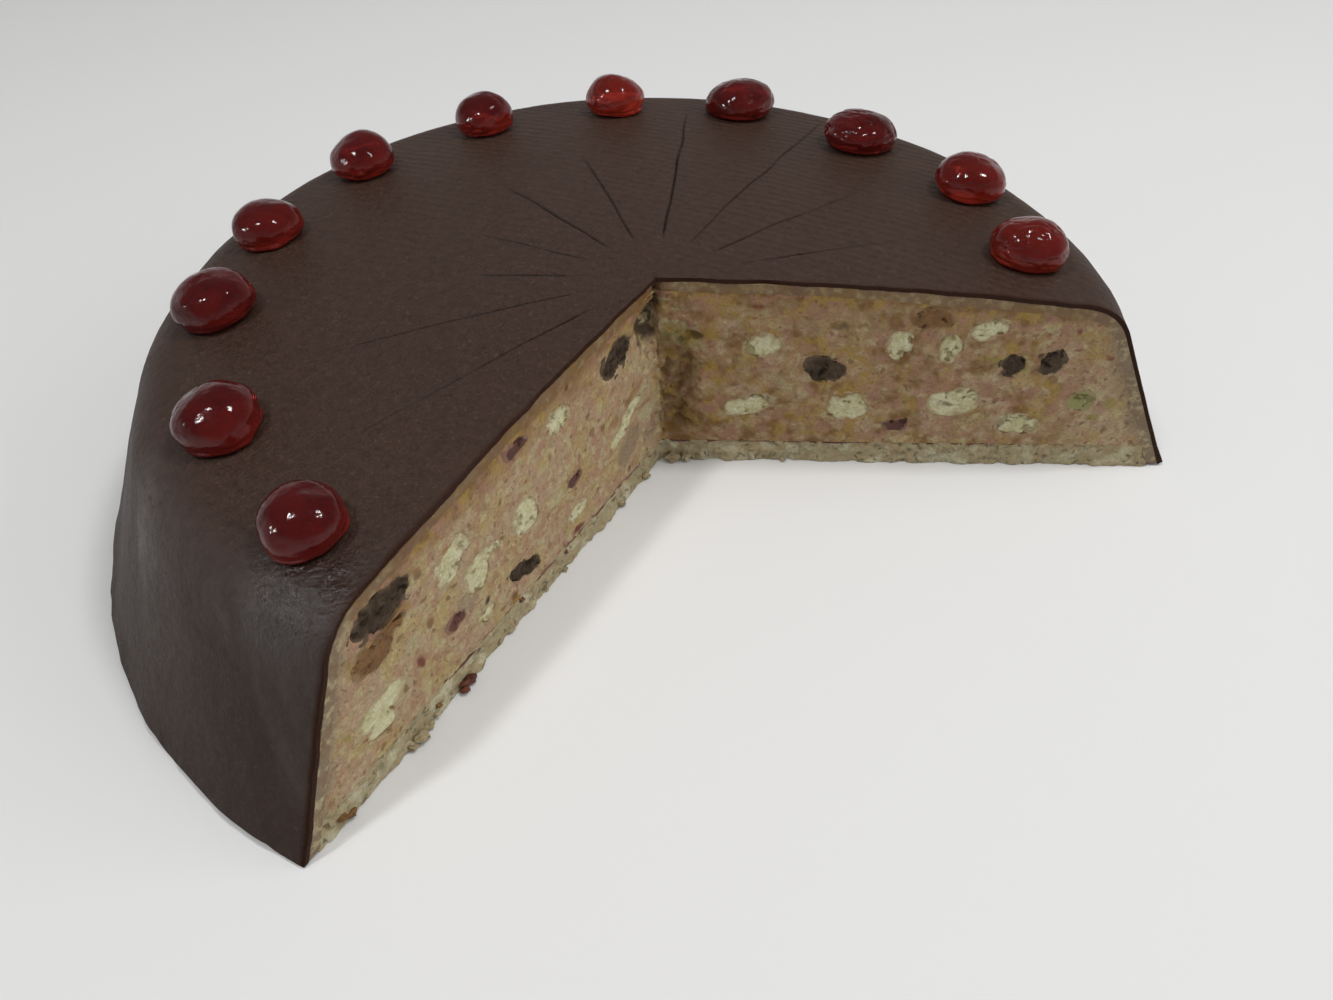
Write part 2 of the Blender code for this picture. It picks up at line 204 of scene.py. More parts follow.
@dataclass(frozen=True)
class CakeForm:
    """A shallow dome, a round shoulder and a sloping wall, slightly lobed, cut open from the apex."""

    base_radius: float = 140.0
    height: float = 57.6
    dome_radius: float = 847.0
    dome_edge: float = 109.0
    shoulder_radius: float = 14.7
    lobe_share: float = 0.0081
    lobe_phase: float = math.radians(98)
    apex: tuple[float, float] = (2.1, -8.4)

    def slopes(self) -> tuple[float, float, float, float]:
        """Where the shoulder begins and ends.

        Returns:
            The slopes in radians at the dome's edge and of the wall, and the shoulder centre's radius and height.
        """
        first = math.asin(self.dome_edge / self.dome_radius)
        reach = self.dome_radius - self.shoulder_radius
        radius, height = reach * math.sin(first), self.height - self.dome_radius + reach * math.cos(first)
        to_base = math.hypot(self.base_radius - radius, height)
        last = math.atan2(height, self.base_radius - radius) + math.asin(self.shoulder_radius / to_base)
        return first, last, radius, height

    def lobes(self, x: Array, y: Array) -> Array:
        """How far out the skin lies in this direction, as a share of a true circle: a cosine with three lobes."""
        return 1 + self.lobe_share * np.cos(3 * np.arctan2(y, x) + self.lobe_phase)

    def reach(self, angle: Array, radius: Array) -> Array:
        """Distance from the apex to the lobed circle: the ray meets a true circle, scaled again four times.

        Args:
            angle: the ray's angle from +X.
            radius: of the circle about the axis, before its lobes.

        Returns:
            The distance along the ray.
        """
        ux, uy = np.cos(angle), np.sin(angle)
        ax, ay = self.apex
        toward = ax * ux + ay * uy
        scale = np.ones(np.broadcast(angle, radius).shape)
        for _ in range(4):
            out = -toward + np.sqrt((radius * scale) ** 2 - ax * ax - ay * ay + toward**2)
            scale = self.lobes(ax + out * ux, ay + out * uy)
        return out

    def ray(self, angle: Array, distance: Array, height: Array) -> Array:
        """Points at these distances from the apex, last axis x, y, z."""
        x = self.apex[0] + distance * np.cos(angle)
        y = self.apex[1] + distance * np.sin(angle)
        return np.stack([x, y, np.broadcast_to(height, x.shape)], axis=-1)

    def dome_height(self, points: Array) -> Array:
        """Height of the coat's top over points of the dome: the sphere over their radius."""
        x, y = points[..., 0], points[..., 1]
        radius = np.hypot(x, y) / self.lobes(x, y)
        return self.height - self.dome_radius + np.sqrt(self.dome_radius**2 - radius**2)

    def skin(self, angles: Array, rows: Array, inset: float, foot: float) -> Array:
        """The skin this far under the surface, by rays from the apex.

        A row from 0 to 1 runs over the dome as a share of the way out, from 1 to 2 round the shoulder's arc, and
        from 2 to 3 down the wall.

        Args:
            angles: of the rays.
            rows: places along the profile, 0 to 3.
            inset: depth under the surface.
            foot: height of the wall's lower end.

        Returns:
            Points by ray and row.
        """
        first, last, centre, middle = self.slopes()
        angle, row = angles[:, None], rows[None, :]
        dome = self.dome_radius - inset
        arc = self.shoulder_radius - inset
        turn = first + (last - first) * np.clip(row - 1, 0, 1)
        end_height = middle + arc * math.cos(last)
        wall = end_height + (foot - end_height) * np.clip(row - 2, 0, 1)
        radius = np.where(row <= 2, centre + arc * np.sin(turn), self.wall_radius(wall, inset))
        out = np.clip(row, 0, 1) * self.reach(angle, radius)
        points = self.ray(angle, out, np.where(row <= 2, middle + arc * np.cos(turn), wall))
        level = np.hypot(points[..., 0], points[..., 1]) / self.lobes(points[..., 0], points[..., 1])
        over = self.height - self.dome_radius + np.sqrt(dome**2 - np.minimum(level, dome) ** 2)
        points[..., 2] = np.where(row <= 1, over, points[..., 2])
        return points

    def wall_radius(self, height: Array, inset: float) -> Array:
        """Radius of the wall at a height: from the shoulder's end it widens downwards by its slope.

        Args:
            height: over the table.
            inset: depth under the surface.

        Returns:
            The radius, before its lobes.
        """
        _, last, centre, middle = self.slopes()
        arc = self.shoulder_radius - inset
        return centre + arc * math.sin(last) + (middle + arc * math.cos(last) - height) / math.tan(last)

    def from_wall(self, points: Array) -> Array:
        """Distance of points in from the wall's surface, square to its slope."""
        radius = np.hypot(points[..., 0], points[..., 1]) / self.lobes(points[..., 0], points[..., 1])
        return (self.wall_radius(points[..., 2], 0) - radius) * math.sin(self.slopes()[1])

    def outward(self, points: Array, rows: Array) -> Array:
        """Unit vectors square to the skin: level outwards by the sine of the slope, up by its cosine.

        Args:
            points: on the skin.
            rows: each point's row, as profile takes it.

        Returns:
            One vector for each point.
        """
        first, last, _, _ = self.slopes()
        x, y = points[..., 0], points[..., 1]
        level = np.hypot(x, y)
        slope = np.where(
            rows <= 1, np.arcsin(level / self.dome_radius), first + (last - first) * np.clip(rows - 1, 0, 1)
        )
        around = np.arctan2(y, x)
        return np.stack([np.cos(around) * np.sin(slope), np.sin(around) * np.sin(slope), np.cos(slope)], axis=-1)


@dataclass(frozen=True)
class Chunk:
    """A piece in the filling that a cut face shows; sizes and places in millimetres, tilt in degrees."""

    kind: str
    cut: Cut
    along: float
    up: float
    long: float
    tall: float
    tilt: float = 0.0
    lobes: tuple[tuple[float, float, float, float, float], ...] = ()


CHUNKS = (
    Chunk("dark_chunk", Cut.LEFT, 18.5, 46, 12, 8),
    Chunk("pale_chunk", Cut.LEFT, 43, 44.5, 9, 7),
    Chunk("fruit_piece", Cut.LEFT, 58, 48.3, 8, 3.6),
    Chunk("pale_chunk", Cut.LEFT, 83.5, 36.5, 11, 9.5, 0, ((-0.6, 1.2, 11, 6.6, -14), (1.2, -1.6, 7, 6.4, 20))),
    Chunk("dark_chunk", Cut.LEFT, 103, 41.4, 16, 7.4),
    Chunk("soaked_chunk", Cut.LEFT, 106, 32.8, 13, 5.2, 0, ((-1.6, 1.6, 14, 4.0, -8), (2.0, -0.2, 11, 5.6, 12))),
    Chunk("pale_chunk", Cut.LEFT, 59, 28.5, 8, 9),
    Chunk("pale_chunk", Cut.LEFT, 75, 27, 11, 8.4, -10, ((-0.6, 2.0, 13, 3.4, 4), (1.5, -1.2, 6.4, 7.4, 8))),
    Chunk("fruit_piece", Cut.LEFT, 85.5, 20, 6, 3.6),
    Chunk("pale_chunk", Cut.LEFT, 109, 17.5, 14, 8.6, 0, ((0, 1.2, 13.6, 6.4, -3), (1.4, -2.8, 8.4, 4.4, 5))),
    Chunk("dark_chunk", Cut.LEFT, 61.5, 14, 11, 4.6, 22),
    Chunk("fruit_piece", Cut.LEFT, 39.5, 24, 6, 3.4),
    Chunk("pale_chunk", Cut.LEFT, 16.5, 24, 15, 5, -20, ((-1.5, 1.0, 12, 3.4, -34), (3.0, -1.6, 8, 4.2, -22))),
    Chunk("pale_chunk", Cut.LEFT, 39.5, 13.2, 8, 4.4),
    Chunk("pale_chunk", Cut.LEFT, 76, 13, 6, 3.6),
    Chunk("pale_chunk", Cut.RIGHT, 60, 38.5, 5.4, 8),
    Chunk("soaked_chunk", Cut.RIGHT, 67, 46, 10, 5.6),
    Chunk("pale_chunk", Cut.RIGHT, 72.5, 37, 4.6, 8),
    Chunk("pale_chunk", Cut.RIGHT, 81, 43, 9, 4.8, 24),
    Chunk("dark_chunk", Cut.RIGHT, 89, 33, 6.4, 7),
    Chunk("dark_chunk", Cut.RIGHT, 98, 33.5, 6.6, 6.4),
    Chunk("green_chunk", Cut.RIGHT, 108, 21.5, 6.4, 6),
    Chunk("pale_chunk", Cut.RIGHT, 26, 38, 9, 6, 15),
    Chunk("dark_chunk", Cut.RIGHT, 42, 31, 10, 6.6, -15),
    Chunk("pale_chunk", Cut.RIGHT, 49, 19, 9, 8),
    Chunk("pale_chunk", Cut.RIGHT, 76, 21, 12, 8, 10),
    Chunk("fruit_piece", Cut.RIGHT, 62, 13, 6, 3.8),
    Chunk("pale_chunk", Cut.RIGHT, 93, 14, 11, 5.6),
    Chunk("pale_chunk", Cut.RIGHT, 23, 19, 12, 5, 20),
)


class Tint(Enum):
    """What colours a spot of the filling or the sponge: stains, and painted shade; each is a named attribute of the
    mesh.
    """

    BERRY = "berry"
    PALE = "pale"
    SOAKED = "soaked"
    GREEN = "green"
    DARK = "dark"
    PASTE = "paste"


@dataclass(frozen=True)
class Spot:
    """A small stain on a cut face, a soft-edged ellipse with a ragged rim; millimetres and degrees."""

    tint: Tint
    cut: Cut
    along: float
    up: float
    long: float
    tall: float
    tilt: float = 0.0
    strength: float = 1.0


SPOT_ROWS: dict[tuple[Cut, Tint], tuple[tuple[float, ...], ...]] = {
    (Cut.LEFT, Tint.BERRY): (
        (39, 51, 1.8, 2.2), (36, 53, 2.4, 1.4), (78.5, 47.5, 3.4, 3.4, 0, 0.6), (20.5, 28, 4, 3, 0, 0.3),
        (9, 24.6, 9, 1.2, 8, 0.5), (20, 6.9, 8, 1.6, 0, 0.55), (46, 6, 2, 5, 0, 0.8), (54, 6.9, 4, 1.6, 0, 0.7),
        (78, 6.9, 3, 1.2, 0, 0.6), (97, 19, 2.0, 3.6, -20), (40, 8, 5, 2),
    ),
    (Cut.LEFT, Tint.PALE): (
        (57.5, 36, 7, 2.2, 25, 0.7), (9, 28.5, 9, 3.4, -30, 0.8), (8, 38, 7, 6, 0, 0.4), (7, 21, 8, 4.4, 10, 0.9),
        (58.5, 44.5, 4, 1.6, 0, 0.7), (77.5, 15.5, 7, 5, 0, 0.55), (48, 24, 6, 4, 0, 0.8),
        (98, 25.5, 3.6, 5, 0, 0.8),
    ),
    (Cut.LEFT, Tint.SOAKED): (
        (21, 28, 6, 4, 0, 0.4), (11.5, 31, 10, 2.2, -25, 0.8), (63, 47.5, 5, 2, 0, 0.6),
        (104.5, 36.6, 15, 4.4, -6, 0.95), (84, 40, 3, 2.4, 0, 0.8), (71, 42, 5, 2, 50, 0.4), (66, 8, 2, 4, -20),
    ),
    (Cut.LEFT, Tint.GREEN): (
        (119, 20, 2, 2),
    ),
    (Cut.LEFT, Tint.DARK): (
        (75, 16.5, 1.6, 2.2, 50), (103.5, 38.2, 13, 2.6, -8, 0.8),
    ),
    (Cut.LEFT, Tint.PASTE): (
        (15, 17, 14, 8, -20, 0.8), (5, 14, 8, 6, 0, 0.5), (80.5, 21.5, 8, 5, 0, 0.6),
    ),
    (Cut.RIGHT, Tint.BERRY): (
        (3, 47, 3, 2, 30, 0.5), (13, 47.5, 5, 2.6, -10, 0.7), (24.5, 49.5, 3, 1.6), (112, 35, 2.4, 1.4),
        (102.5, 43, 1.4, 2),
    ),
    (Cut.RIGHT, Tint.PALE): (
        (5, 41, 8, 5, 0, 0.45), (10, 38, 5, 4, 0, 0.5), (30, 27, 9, 3, -40, 0.5), (95.5, 44.5, 5, 3, 0, 0.8),
        (109.5, 22, 5, 8, 0, 0.6),
    ),
    (Cut.RIGHT, Tint.SOAKED): (
        (14, 50, 8, 3, 0, 0.6), (33, 48, 7, 3, -10, 0.7), (64.5, 43, 4, 11, 0, 0.7), (54, 44, 5, 5, 0, 0.5),
        (79, 51.5, 6, 2, 0, 0.5), (97, 47, 4, 5, 0, 0.5), (99, 27, 3, 4, 0, 0.8), (85.5, 25, 9, 2, -24, 0.5),
    ),
    (Cut.RIGHT, Tint.GREEN): (
        (5, 39.5, 9, 8, 0, 0.55), (15, 50.5, 5, 2.6, 0, 0.5), (87, 33, 14, 2.4, -22, 0.7),
        (115.5, 21, 4, 4, 0, 0.7), (112, 16, 3, 2),
    ),
    (Cut.RIGHT, Tint.DARK): (
        (44.5, 44, 5, 2.8, 0, 0.7),
    ),
}
SPOTS = tuple(Spot(tint, cut, *row) for (cut, tint), rows in SPOT_ROWS.items() for row in rows)
SMEARS = {"pale_chunk": (Tint.PALE, 0.7), "dark_chunk": (Tint.DARK, 0.35), "soaked_chunk": (Tint.SOAKED, 0.7)}


@dataclass(frozen=True)
class CutFace:
    """The ragged surface that the knife and the torn-out portions left on both sides of the notch."""

    form: CakeForm = CakeForm()
    torn_along: float = 3.5
    torn_reach: float = 5.0
    torn_depth: float = 4.6
    torn_middle: float = 45.0
    torn_tall: float = 6.0
    recess_depth: float = 3.4
    wave_depth: float = 0.28
    slit_depth: float = 1.6
    slit_width: float = 1.1
    slit_foot: tuple[float, float] = (48.0, 51.0)

    def along(self, points: Array) -> Array:
        """Level distance of points from the apex's upright."""
        return np.hypot(points[..., 0] - self.form.apex[0], points[..., 1] - self.form.apex[1])

    def into(self, points: Array, cut: Cut) -> Array:
        """Unit vectors into the cake, turning straight back where the two faces meet at the apex.

        Args:
            points: points by the cut.
            cut: which cut.
        """
        quarter = -math.pi / 2 if cut is Cut.LEFT else math.pi / 2
        inward = np.array([math.cos(cut.value + quarter), math.sin(cut.value + quarter), 0])
        back = np.array([0.0, 1.0, 0.0])
        turn = np.clip(self.along(points) / self.torn_reach, 0, 1)[..., None]
        into = inward * turn + back * (1 - turn)
        return into / np.linalg.norm(into, axis=-1, keepdims=True)

    def cavity(self, points: Array) -> Array:
        """The torn hollow in the left cut by the apex: a bell of both directions of the face, 0 to 1."""
        along = (self.along(points) - self.torn_along) / self.torn_reach
        return np.exp(-(along**2) - ((points[..., 2] - self.torn_middle) / self.torn_tall) ** 2)

    def recess(self, points: Array) -> Array:
        """The place in the right cut by the apex where crumb broke away, under the hollow's height, 0 to 1."""
        along, height = self.along(points), points[..., 2]
        stray = crumb_noise(points, 4.5, 3, 24)
        begin = np.clip(0.8 + 1.4 * crumb_noise(points * np.array([0.2, 0.2, 1]), 3.2, 3, 25), 0, 3)
        side = smooth(begin, begin + 1.0, along) * smooth(11.5, 5.5, along + 2.5 * stray)
        return side * smooth(8, 14, height + 2.5 * stray) * smooth(47, 35, height + 2.0 * stray)

    def bite(self, points: Array, cut: Cut) -> Array:
        """How far the cut strays into the cake: broad waves, the torn hollow, the recess and the slit at the apex.

        Args:
            points: points on the flat cut.
            cut: which cut.

        Returns:
            Depth in mm.
        """
        along, height = self.along(points), points[..., 2]
        waves = self.wave_depth * crumb_noise(points, 14, 2, 11)
        ragged = crumb_noise(points, 4, 3, 23)
        layered = crumb_noise(points * np.array([0.5, 0.5, 1]), 2.2, 3, 26)
        slit = self.slit_depth * np.exp(-((along / self.slit_width) ** 2)) * smooth(*self.slit_foot, height)
        if cut is Cut.LEFT:
            return waves + slit + self.torn_depth * self.cavity(points) * (1 + 0.5 * ragged)
        return waves + slit + self.recess_depth * self.recess(points) * (1 + 0.22 * ragged + 0.3 * layered)

    def plane(self, cut: Cut, along: Array, up: Array) -> Array:
        """Points of the flat cut face by distance from the apex and height."""
        return self.form.ray(np.full(np.shape(along), cut.value), np.asarray(along, float), up)


# --- Meshes ---


@dataclass
class Solid:
    """A mesh in the making: points in millimetres, blocks of polygons, and named values for each point."""

    points: Array
    polygons: list[Array]
    values: dict[str, Array] = field(default_factory=dict)

    def joined(self, other: "Solid") -> "Solid":
        """Both meshes in one."""
        shifted = [block + len(self.points) for block in other.polygons]
        values = {name: np.concatenate([self.values[name], other.values[name]]) for name in self.values}
        return Solid(np.concatenate([self.points, other.points]), self.polygons + shifted, values)


def grid_quads(ids: Array) -> Array:
    """Quads of a grid of vertex numbers, turning from the first axis to the second."""
    return np.stack([ids[:-1, :-1], ids[1:, :-1], ids[1:, 1:], ids[:-1, 1:]], axis=-1).reshape(-1, 4)


def fan(ids: Array, pole: int) -> Array:
    """Triangles from a pole to each edge of a row of vertex numbers."""
    return np.stack([np.full(len(ids) - 1, pole), ids[:-1], ids[1:]], axis=-1)


def round_solid(rings: Array, low_pole: Array, high_pole: Array) -> Solid:
    """A closed ball-like mesh from rings of points, first ring next to the low pole.

    Args:
        rings: points by ring and segment; the segments run anticlockwise seen from the high pole.
        low_pole: the point that closes the first ring.
        high_pole: the point that closes the last ring.

    Returns:
        The mesh.
    """
    count, segments = rings.shape[:2]
    ids = np.arange(count * segments).reshape(count, segments)
    ids = np.concatenate([ids, ids[:, :1]], axis=1)
    low, high = count * segments, count * segments + 1
    points = np.concatenate([rings.reshape(-1, 3), low_pole[None], high_pole[None]])
    return Solid(points, [grid_quads(ids.T), fan(ids[0][::-1], low), fan(ids[-1], high)])


def wedge_solid(outer: Array, inner: Array, levels: Array, every: tuple[int, int]) -> tuple[Solid, Array]:
    """A closed layer of the cut cake between two surfaces that start at the apex's upright.

    The points are the skin of a box of columns, rows and levels: a point lies between the outer and the inner
    surface by its level's share. The first row of all columns is one upright at the apex. The inner side, which
    nothing shows, takes only some rows and columns, and its border polygons take in every point of the border.

    Args:
        outer: points by column and row.
        inner: points by column and row.
        levels: shares from 0, outer, to 1, inner.
        every: steps between the inner side's columns and rows.

    Returns:
        The mesh, and for each point its column, row and level number.
    """
    columns, rows = outer.shape[:2]
    last = len(levels) - 1
    keep_columns = np.unique(np.append(np.arange(0, columns, every[0]), columns - 1))
    keep_rows = np.unique(np.append(np.arange(0, rows, every[1]), rows - 1))
    used = np.zeros((columns, rows, last + 1), bool)
    used[:, :, 0] = used[:, -1, :] = True
    used[[0, -1]] = True
    used[np.ix_(keep_columns, keep_rows, [last])] = True
    used[1:, 0, :] = False
    ids = np.full(used.shape, -1)
    ids[used] = np.arange(used.sum())
    ids[1:, 0, :] = ids[0, 0, :]
    place = np.argwhere(used)
    share = levels[place[:, 2]][:, None]
    points = outer[place[:, 0], place[:, 1]] * (1 - share) + inner[place[:, 0], place[:, 1]] * share
    top = ids[:, 1:, 0]
    polygons = [
        grid_quads(top.T),
        fan(top[:, 0], ids[0, 0, 0]),
        grid_quads(ids[0].T),
        grid_quads(ids[-1]),
        grid_quads(ids[:, -1, :].T),
    ]
    for i, j in zip(keep_rows, keep_rows[1:]):
        for a, b in zip(keep_columns, keep_columns[1:]):
            low = ids[[a, b], i, last] if i else ids[[a], 0, last]
            far = ids[b, i + 1 : j, last] if b == columns - 1 else ids[b, 0:0, last]
            high = ids[a : b + 1, j, last][::-1] if j == rows - 1 else ids[[b, a], j, last]
            near = ids[a, i + 1 : j, last][::-1] if a == 0 else ids[a, 0:0, last]
            polygons.append(np.concatenate([low, far, high, near])[None])
    return Solid(points, polygons), place


class Piece:
    """Puts a finished mesh into the scene, dressed, riding on the cake and standing for its nodes."""

    @staticmethod
    def make(name: str, solid: Solid, finish: "Finish", slot: str, nodes: tuple[str, ...]) -> bpy.types.Object:
        """Makes the object at the origin.

        Args:
            name: of the piece.
            solid: its mesh.
            finish: its material.
            slot: not used.
            nodes: the CAD nodes that it stands for.

        Returns:
            The object.
        """
        mesh = bpy.data.meshes.new(name)
        mesh.vertices.add(len(solid.points))
        mesh.vertices.foreach_set("co", (solid.points * MM).astype(np.float32).ravel())
        corners = np.concatenate([block.ravel() for block in solid.polygons]).astype(np.int32)
        sizes = np.concatenate([np.full(len(block), block.shape[1]) for block in solid.polygons])
        mesh.loops.add(len(corners))
        mesh.loops.foreach_set("vertex_index", corners)
        mesh.polygons.add(len(sizes))
        mesh.polygons.foreach_set("loop_start", (np.cumsum(sizes) - sizes).astype(np.int32))
        mesh.update(calc_edges=True)
        mesh.validate()
        mesh.shade_smooth()
        mesh.set_sharp_from_angle(angle=math.radians(55))
        for key, values in solid.values.items():
            mesh.attributes.new(key, "FLOAT", "POINT").data.foreach_set("value", values.astype(np.float32))
        mesh.materials.append(finish.material())
        piece = bpy.data.objects.new(name, mesh)
        bpy.context.scene.collection.objects.link(piece)
        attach(piece, "root")
        if nodes:
            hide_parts(*nodes)
        log.info("%s: %d points, %d faces", name, len(solid.points), len(sizes))
        return piece


# --- Materials ---


class Graph:
    """Adds nodes to a tree, by type, inputs and settings."""

    def __init__(self, tree: bpy.types.NodeTree) -> None:
        """Takes the tree to work in."""
        self.tree = tree

    def add(self, kind: str, inputs: dict | None = None, **settings: object) -> bpy.types.Node:
        """A new node.

        Args:
            kind: the node type's name without ShaderNode.
            inputs: values or sockets to link, by input name or number.
            settings: the node's own properties.

        Returns:
            The node.
        """
        node = self.tree.nodes.new("ShaderNode" + kind)
        for key, value in settings.items():
            setattr(node, key, value)
        for key, value in (inputs or {}).items():
            self.feed(node.inputs[key], value)
        return node

    def feed(self, socket: Socket, value: Value) -> None:
        """Links a socket to another, or sets its value.

        Args:
            socket: the socket to set.
            value: a socket to link, or a constant.
        """
        if isinstance(value, Socket):
            self.tree.links.new(value, socket)
        elif socket.type == "RGBA" and len(value) == 3:
            socket.default_value = (*value, 1)
        else:
            socket.default_value = value

    def math(self, operation: str, first: Value, second: Value = 0.0, clamp: bool = False) -> Socket:
        """The result of a sum on two values."""
        return self.add("Math", {0: first, 1: second}, operation=operation, use_clamp=clamp).outputs[0]

    def mix(self, share: Value, first: Value, second: Value) -> Socket:
        """A colour between two."""
        node = self.add("Mix", data_type="RGBA")
        for socket, value in zip((node.inputs[0], node.inputs[6], node.inputs[7]), (share, first, second)):
            self.feed(socket, value)
        return node.outputs[2]

    def layers(self, colour: Value, steps: Iterable[tuple[Value, Value]]) -> Socket:
        """Lays tones over a colour one after the other, each by its mask."""
        for mask, tone in steps:
            colour = self.mix(mask, colour, tone)
        return colour

    def noise(self, place: Socket, scale: Value, detail: float, **more: float) -> Socket:
        """Noise from 0 to 1 at a place; more are the node's other inputs."""
        return self.add("TexNoise", {"Vector": place, "Scale": scale, "Detail": detail, **more}).outputs["Fac"]

    def ramp(self, value: Socket, low: float, high: float, out_low: float, out_high: float) -> Socket:
        """A value carried smoothly from one range to another, and held at its ends."""
        inputs = {"Value": value, "From Min": low, "From Max": high, "To Min": out_low, "To Max": out_high}
        return self.add("MapRange", inputs, interpolation_type="SMOOTHSTEP").outputs[0]

    def value(self, name: str) -> Socket:
        """The mesh's own values of this name."""
        return self.add("Attribute", attribute_name=name).outputs["Fac"]


class EffectGroup:
    """A node group that several materials share."""

    name = ""
    inputs: tuple[tuple[str, float], ...] = ()
    outputs: tuple[str, ...] = ()

    @classmethod
    def tree(cls) -> bpy.types.NodeTree:
        """The group, built once."""
        tree = bpy.data.node_groups.get(cls.name)
        if tree:
            return tree
        tree = bpy.data.node_groups.new(cls.name, "ShaderNodeTree")
        tree.interface.new_socket("Vector", in_out="INPUT", socket_type="NodeSocketVector")
        for name, value in cls.inputs:
            tree.interface.new_socket(name, in_out="INPUT", socket_type="NodeSocketFloat").default_value = value
        for name in cls.outputs:
            tree.interface.new_socket(name, in_out="OUTPUT", socket_type="NodeSocketFloat")
        graph = Graph(tree)
        source, target = tree.nodes.new("NodeGroupInput"), tree.nodes.new("NodeGroupOutput")
        cls.build(graph, source.outputs, target.inputs)
        return tree

    @classmethod
    def build(cls, graph: Graph, given: object, wanted: object) -> None:
        """Fills the group between its inputs and its outputs."""
        raise NotImplementedError

    @classmethod
    def place(cls, graph: Graph, vector: Socket, **values: float) -> bpy.types.Node:
        """Puts the group into a material with its own values, with _ for a space in their names."""
        node = graph.add("Group", node_tree=cls.tree())
        graph.feed(node.inputs["Vector"], vector)
        for key, value in values.items():
            graph.feed(node.inputs[key.replace("_", " ")], value)
        return node


class CrumbEffect(EffectGroup):
    """Crumb: soft lumps with pores of two sizes in them; gives the height and where the pores are."""

    name = "crumb"
    inputs = (("Lumps", 600.0), ("Pores", 900.0), ("Open", 0.3))
    outputs = ("Height", "Pore")

    @classmethod
    def build(cls, graph: Graph, given: object, wanted: object) -> None:
        """Height is noise less the pores, which are where a second, distorted noise falls under Open.

        Args:
            graph: the group's.
            given: the group's input sockets by name.
            wanted: the group's output sockets by name.
        """
        lumps = graph.noise(given["Vector"], given["Lumps"], 5.0, Roughness=0.6)
        holes = graph.noise(given["Vector"], given["Pores"], 3.0, Distortion=0.6)
        pore = graph.math("MULTIPLY", graph.math("SUBTRACT", given["Open"], holes), 9.0, clamp=True)
        graph.feed(wanted["Pore"], pore)
        graph.feed(wanted["Height"], graph.math("SUBTRACT", lumps, pore))


class SpeckEffect(EffectGroup):
    """Specks: small ragged dots in a few of the cells of a pattern, as a mask."""

    name = "speck"
    inputs = (("Scale", 300.0), ("Share", 0.15), ("Size", 0.35))
    outputs = ("Speck",)

    @classmethod
    def build(cls, graph: Graph, given: object, wanted: object) -> None:
        """A speck is nearer than Size to its cell's middle, in cells whose random number is under Share.

        Args:
            graph: the group's.
            given: the group's input sockets by name.
            wanted: the group's output sockets by name.
        """
        rough = graph.add("TexNoise", {"Vector": given["Vector"], "Scale": given["Scale"], "Detail": 3.0})
        stray = (3.5 * MM,) * 3
        warp = graph.add("VectorMath", {0: rough.outputs["Color"], 1: stray}, operation="MULTIPLY").outputs[0]
        place = graph.add("VectorMath", {0: given["Vector"], 1: warp}, operation="ADD").outputs[0]
        cells = graph.add("TexVoronoi", {"Vector": place, "Scale": given["Scale"]})
        chance = graph.add("SeparateColor", {0: cells.outputs["Color"]}).outputs[0]
        near = graph.math("SUBTRACT", given["Size"], cells.outputs["Distance"])
        near = graph.math("MULTIPLY", near, 7.0, clamp=True)
        graph.feed(wanted["Speck"], graph.math("MULTIPLY", near, graph.math("LESS_THAN", chance, given["Share"])))


class MottleEffect(EffectGroup):
    """Mottle: soft patches and finer blotches, each a mask from 0 to 1."""

    name = "mottle"
    inputs = (("Patches", 60.0), ("Blotches", 260.0))
    outputs = ("Patch", "Blotch")

    @classmethod
    def build(cls, graph: Graph, given: object, wanted: object) -> None:
        """Both masks are noise, spread to its full range."""
        for scale, name, detail in (("Patches", "Patch", 3.0), ("Blotches", "Blotch", 4.0)):
            noise = graph.noise(given["Vector"], given[scale], detail)
            graph.feed(wanted[name], graph.ramp(noise, 0.32, 0.68, 0.0, 1.0))


@dataclass(frozen=True)
class Finish:
    """A material with a Principled shader; the kinds below fill it in."""

    name: str
    colour: Colour
    roughness: float = 0.6

    def material(self) -> bpy.types.Material:
        """The material, made once."""
        made = bpy.data.materials.get(self.name)
        if made:
            return made
        made = bpy.data.materials.new(self.name)
        made.use_nodes = True
        graph = Graph(made.node_tree)
        shader = made.node_tree.nodes["Principled BSDF"]
        shader.inputs["Base Color"].default_value = (*self.colour, 1)
        shader.inputs["Roughness"].default_value = self.roughness
        self.dress(graph, shader, graph.add("TexCoord").outputs["Object"])
        return made

    def dress(self, graph: Graph, shader: bpy.types.Node, place: Socket) -> None:
        """Adds what makes this finish; place is the point in the cake."""

    @staticmethod
    def bump(graph: Graph, shader: bpy.types.Node, heights: tuple[tuple[Socket, float], ...]) -> None:
        """Chains bumps into the shader's normal, each a height from 0 to 1 and its size in millimetres.

        Args:
            graph: the material's.
            shader: its Principled shader.
            heights: each height and its depth in mm.
        """
        normal = None
        for height, size in heights:
            node = graph.add("Bump", {"Height": height, "Distance": size * MM, "Strength": 1.0})
            if normal:
                graph.feed(node.inputs["Normal"], normal)
            normal = node.outputs["Normal"]
        graph.feed(shader.inputs["Normal"], normal)


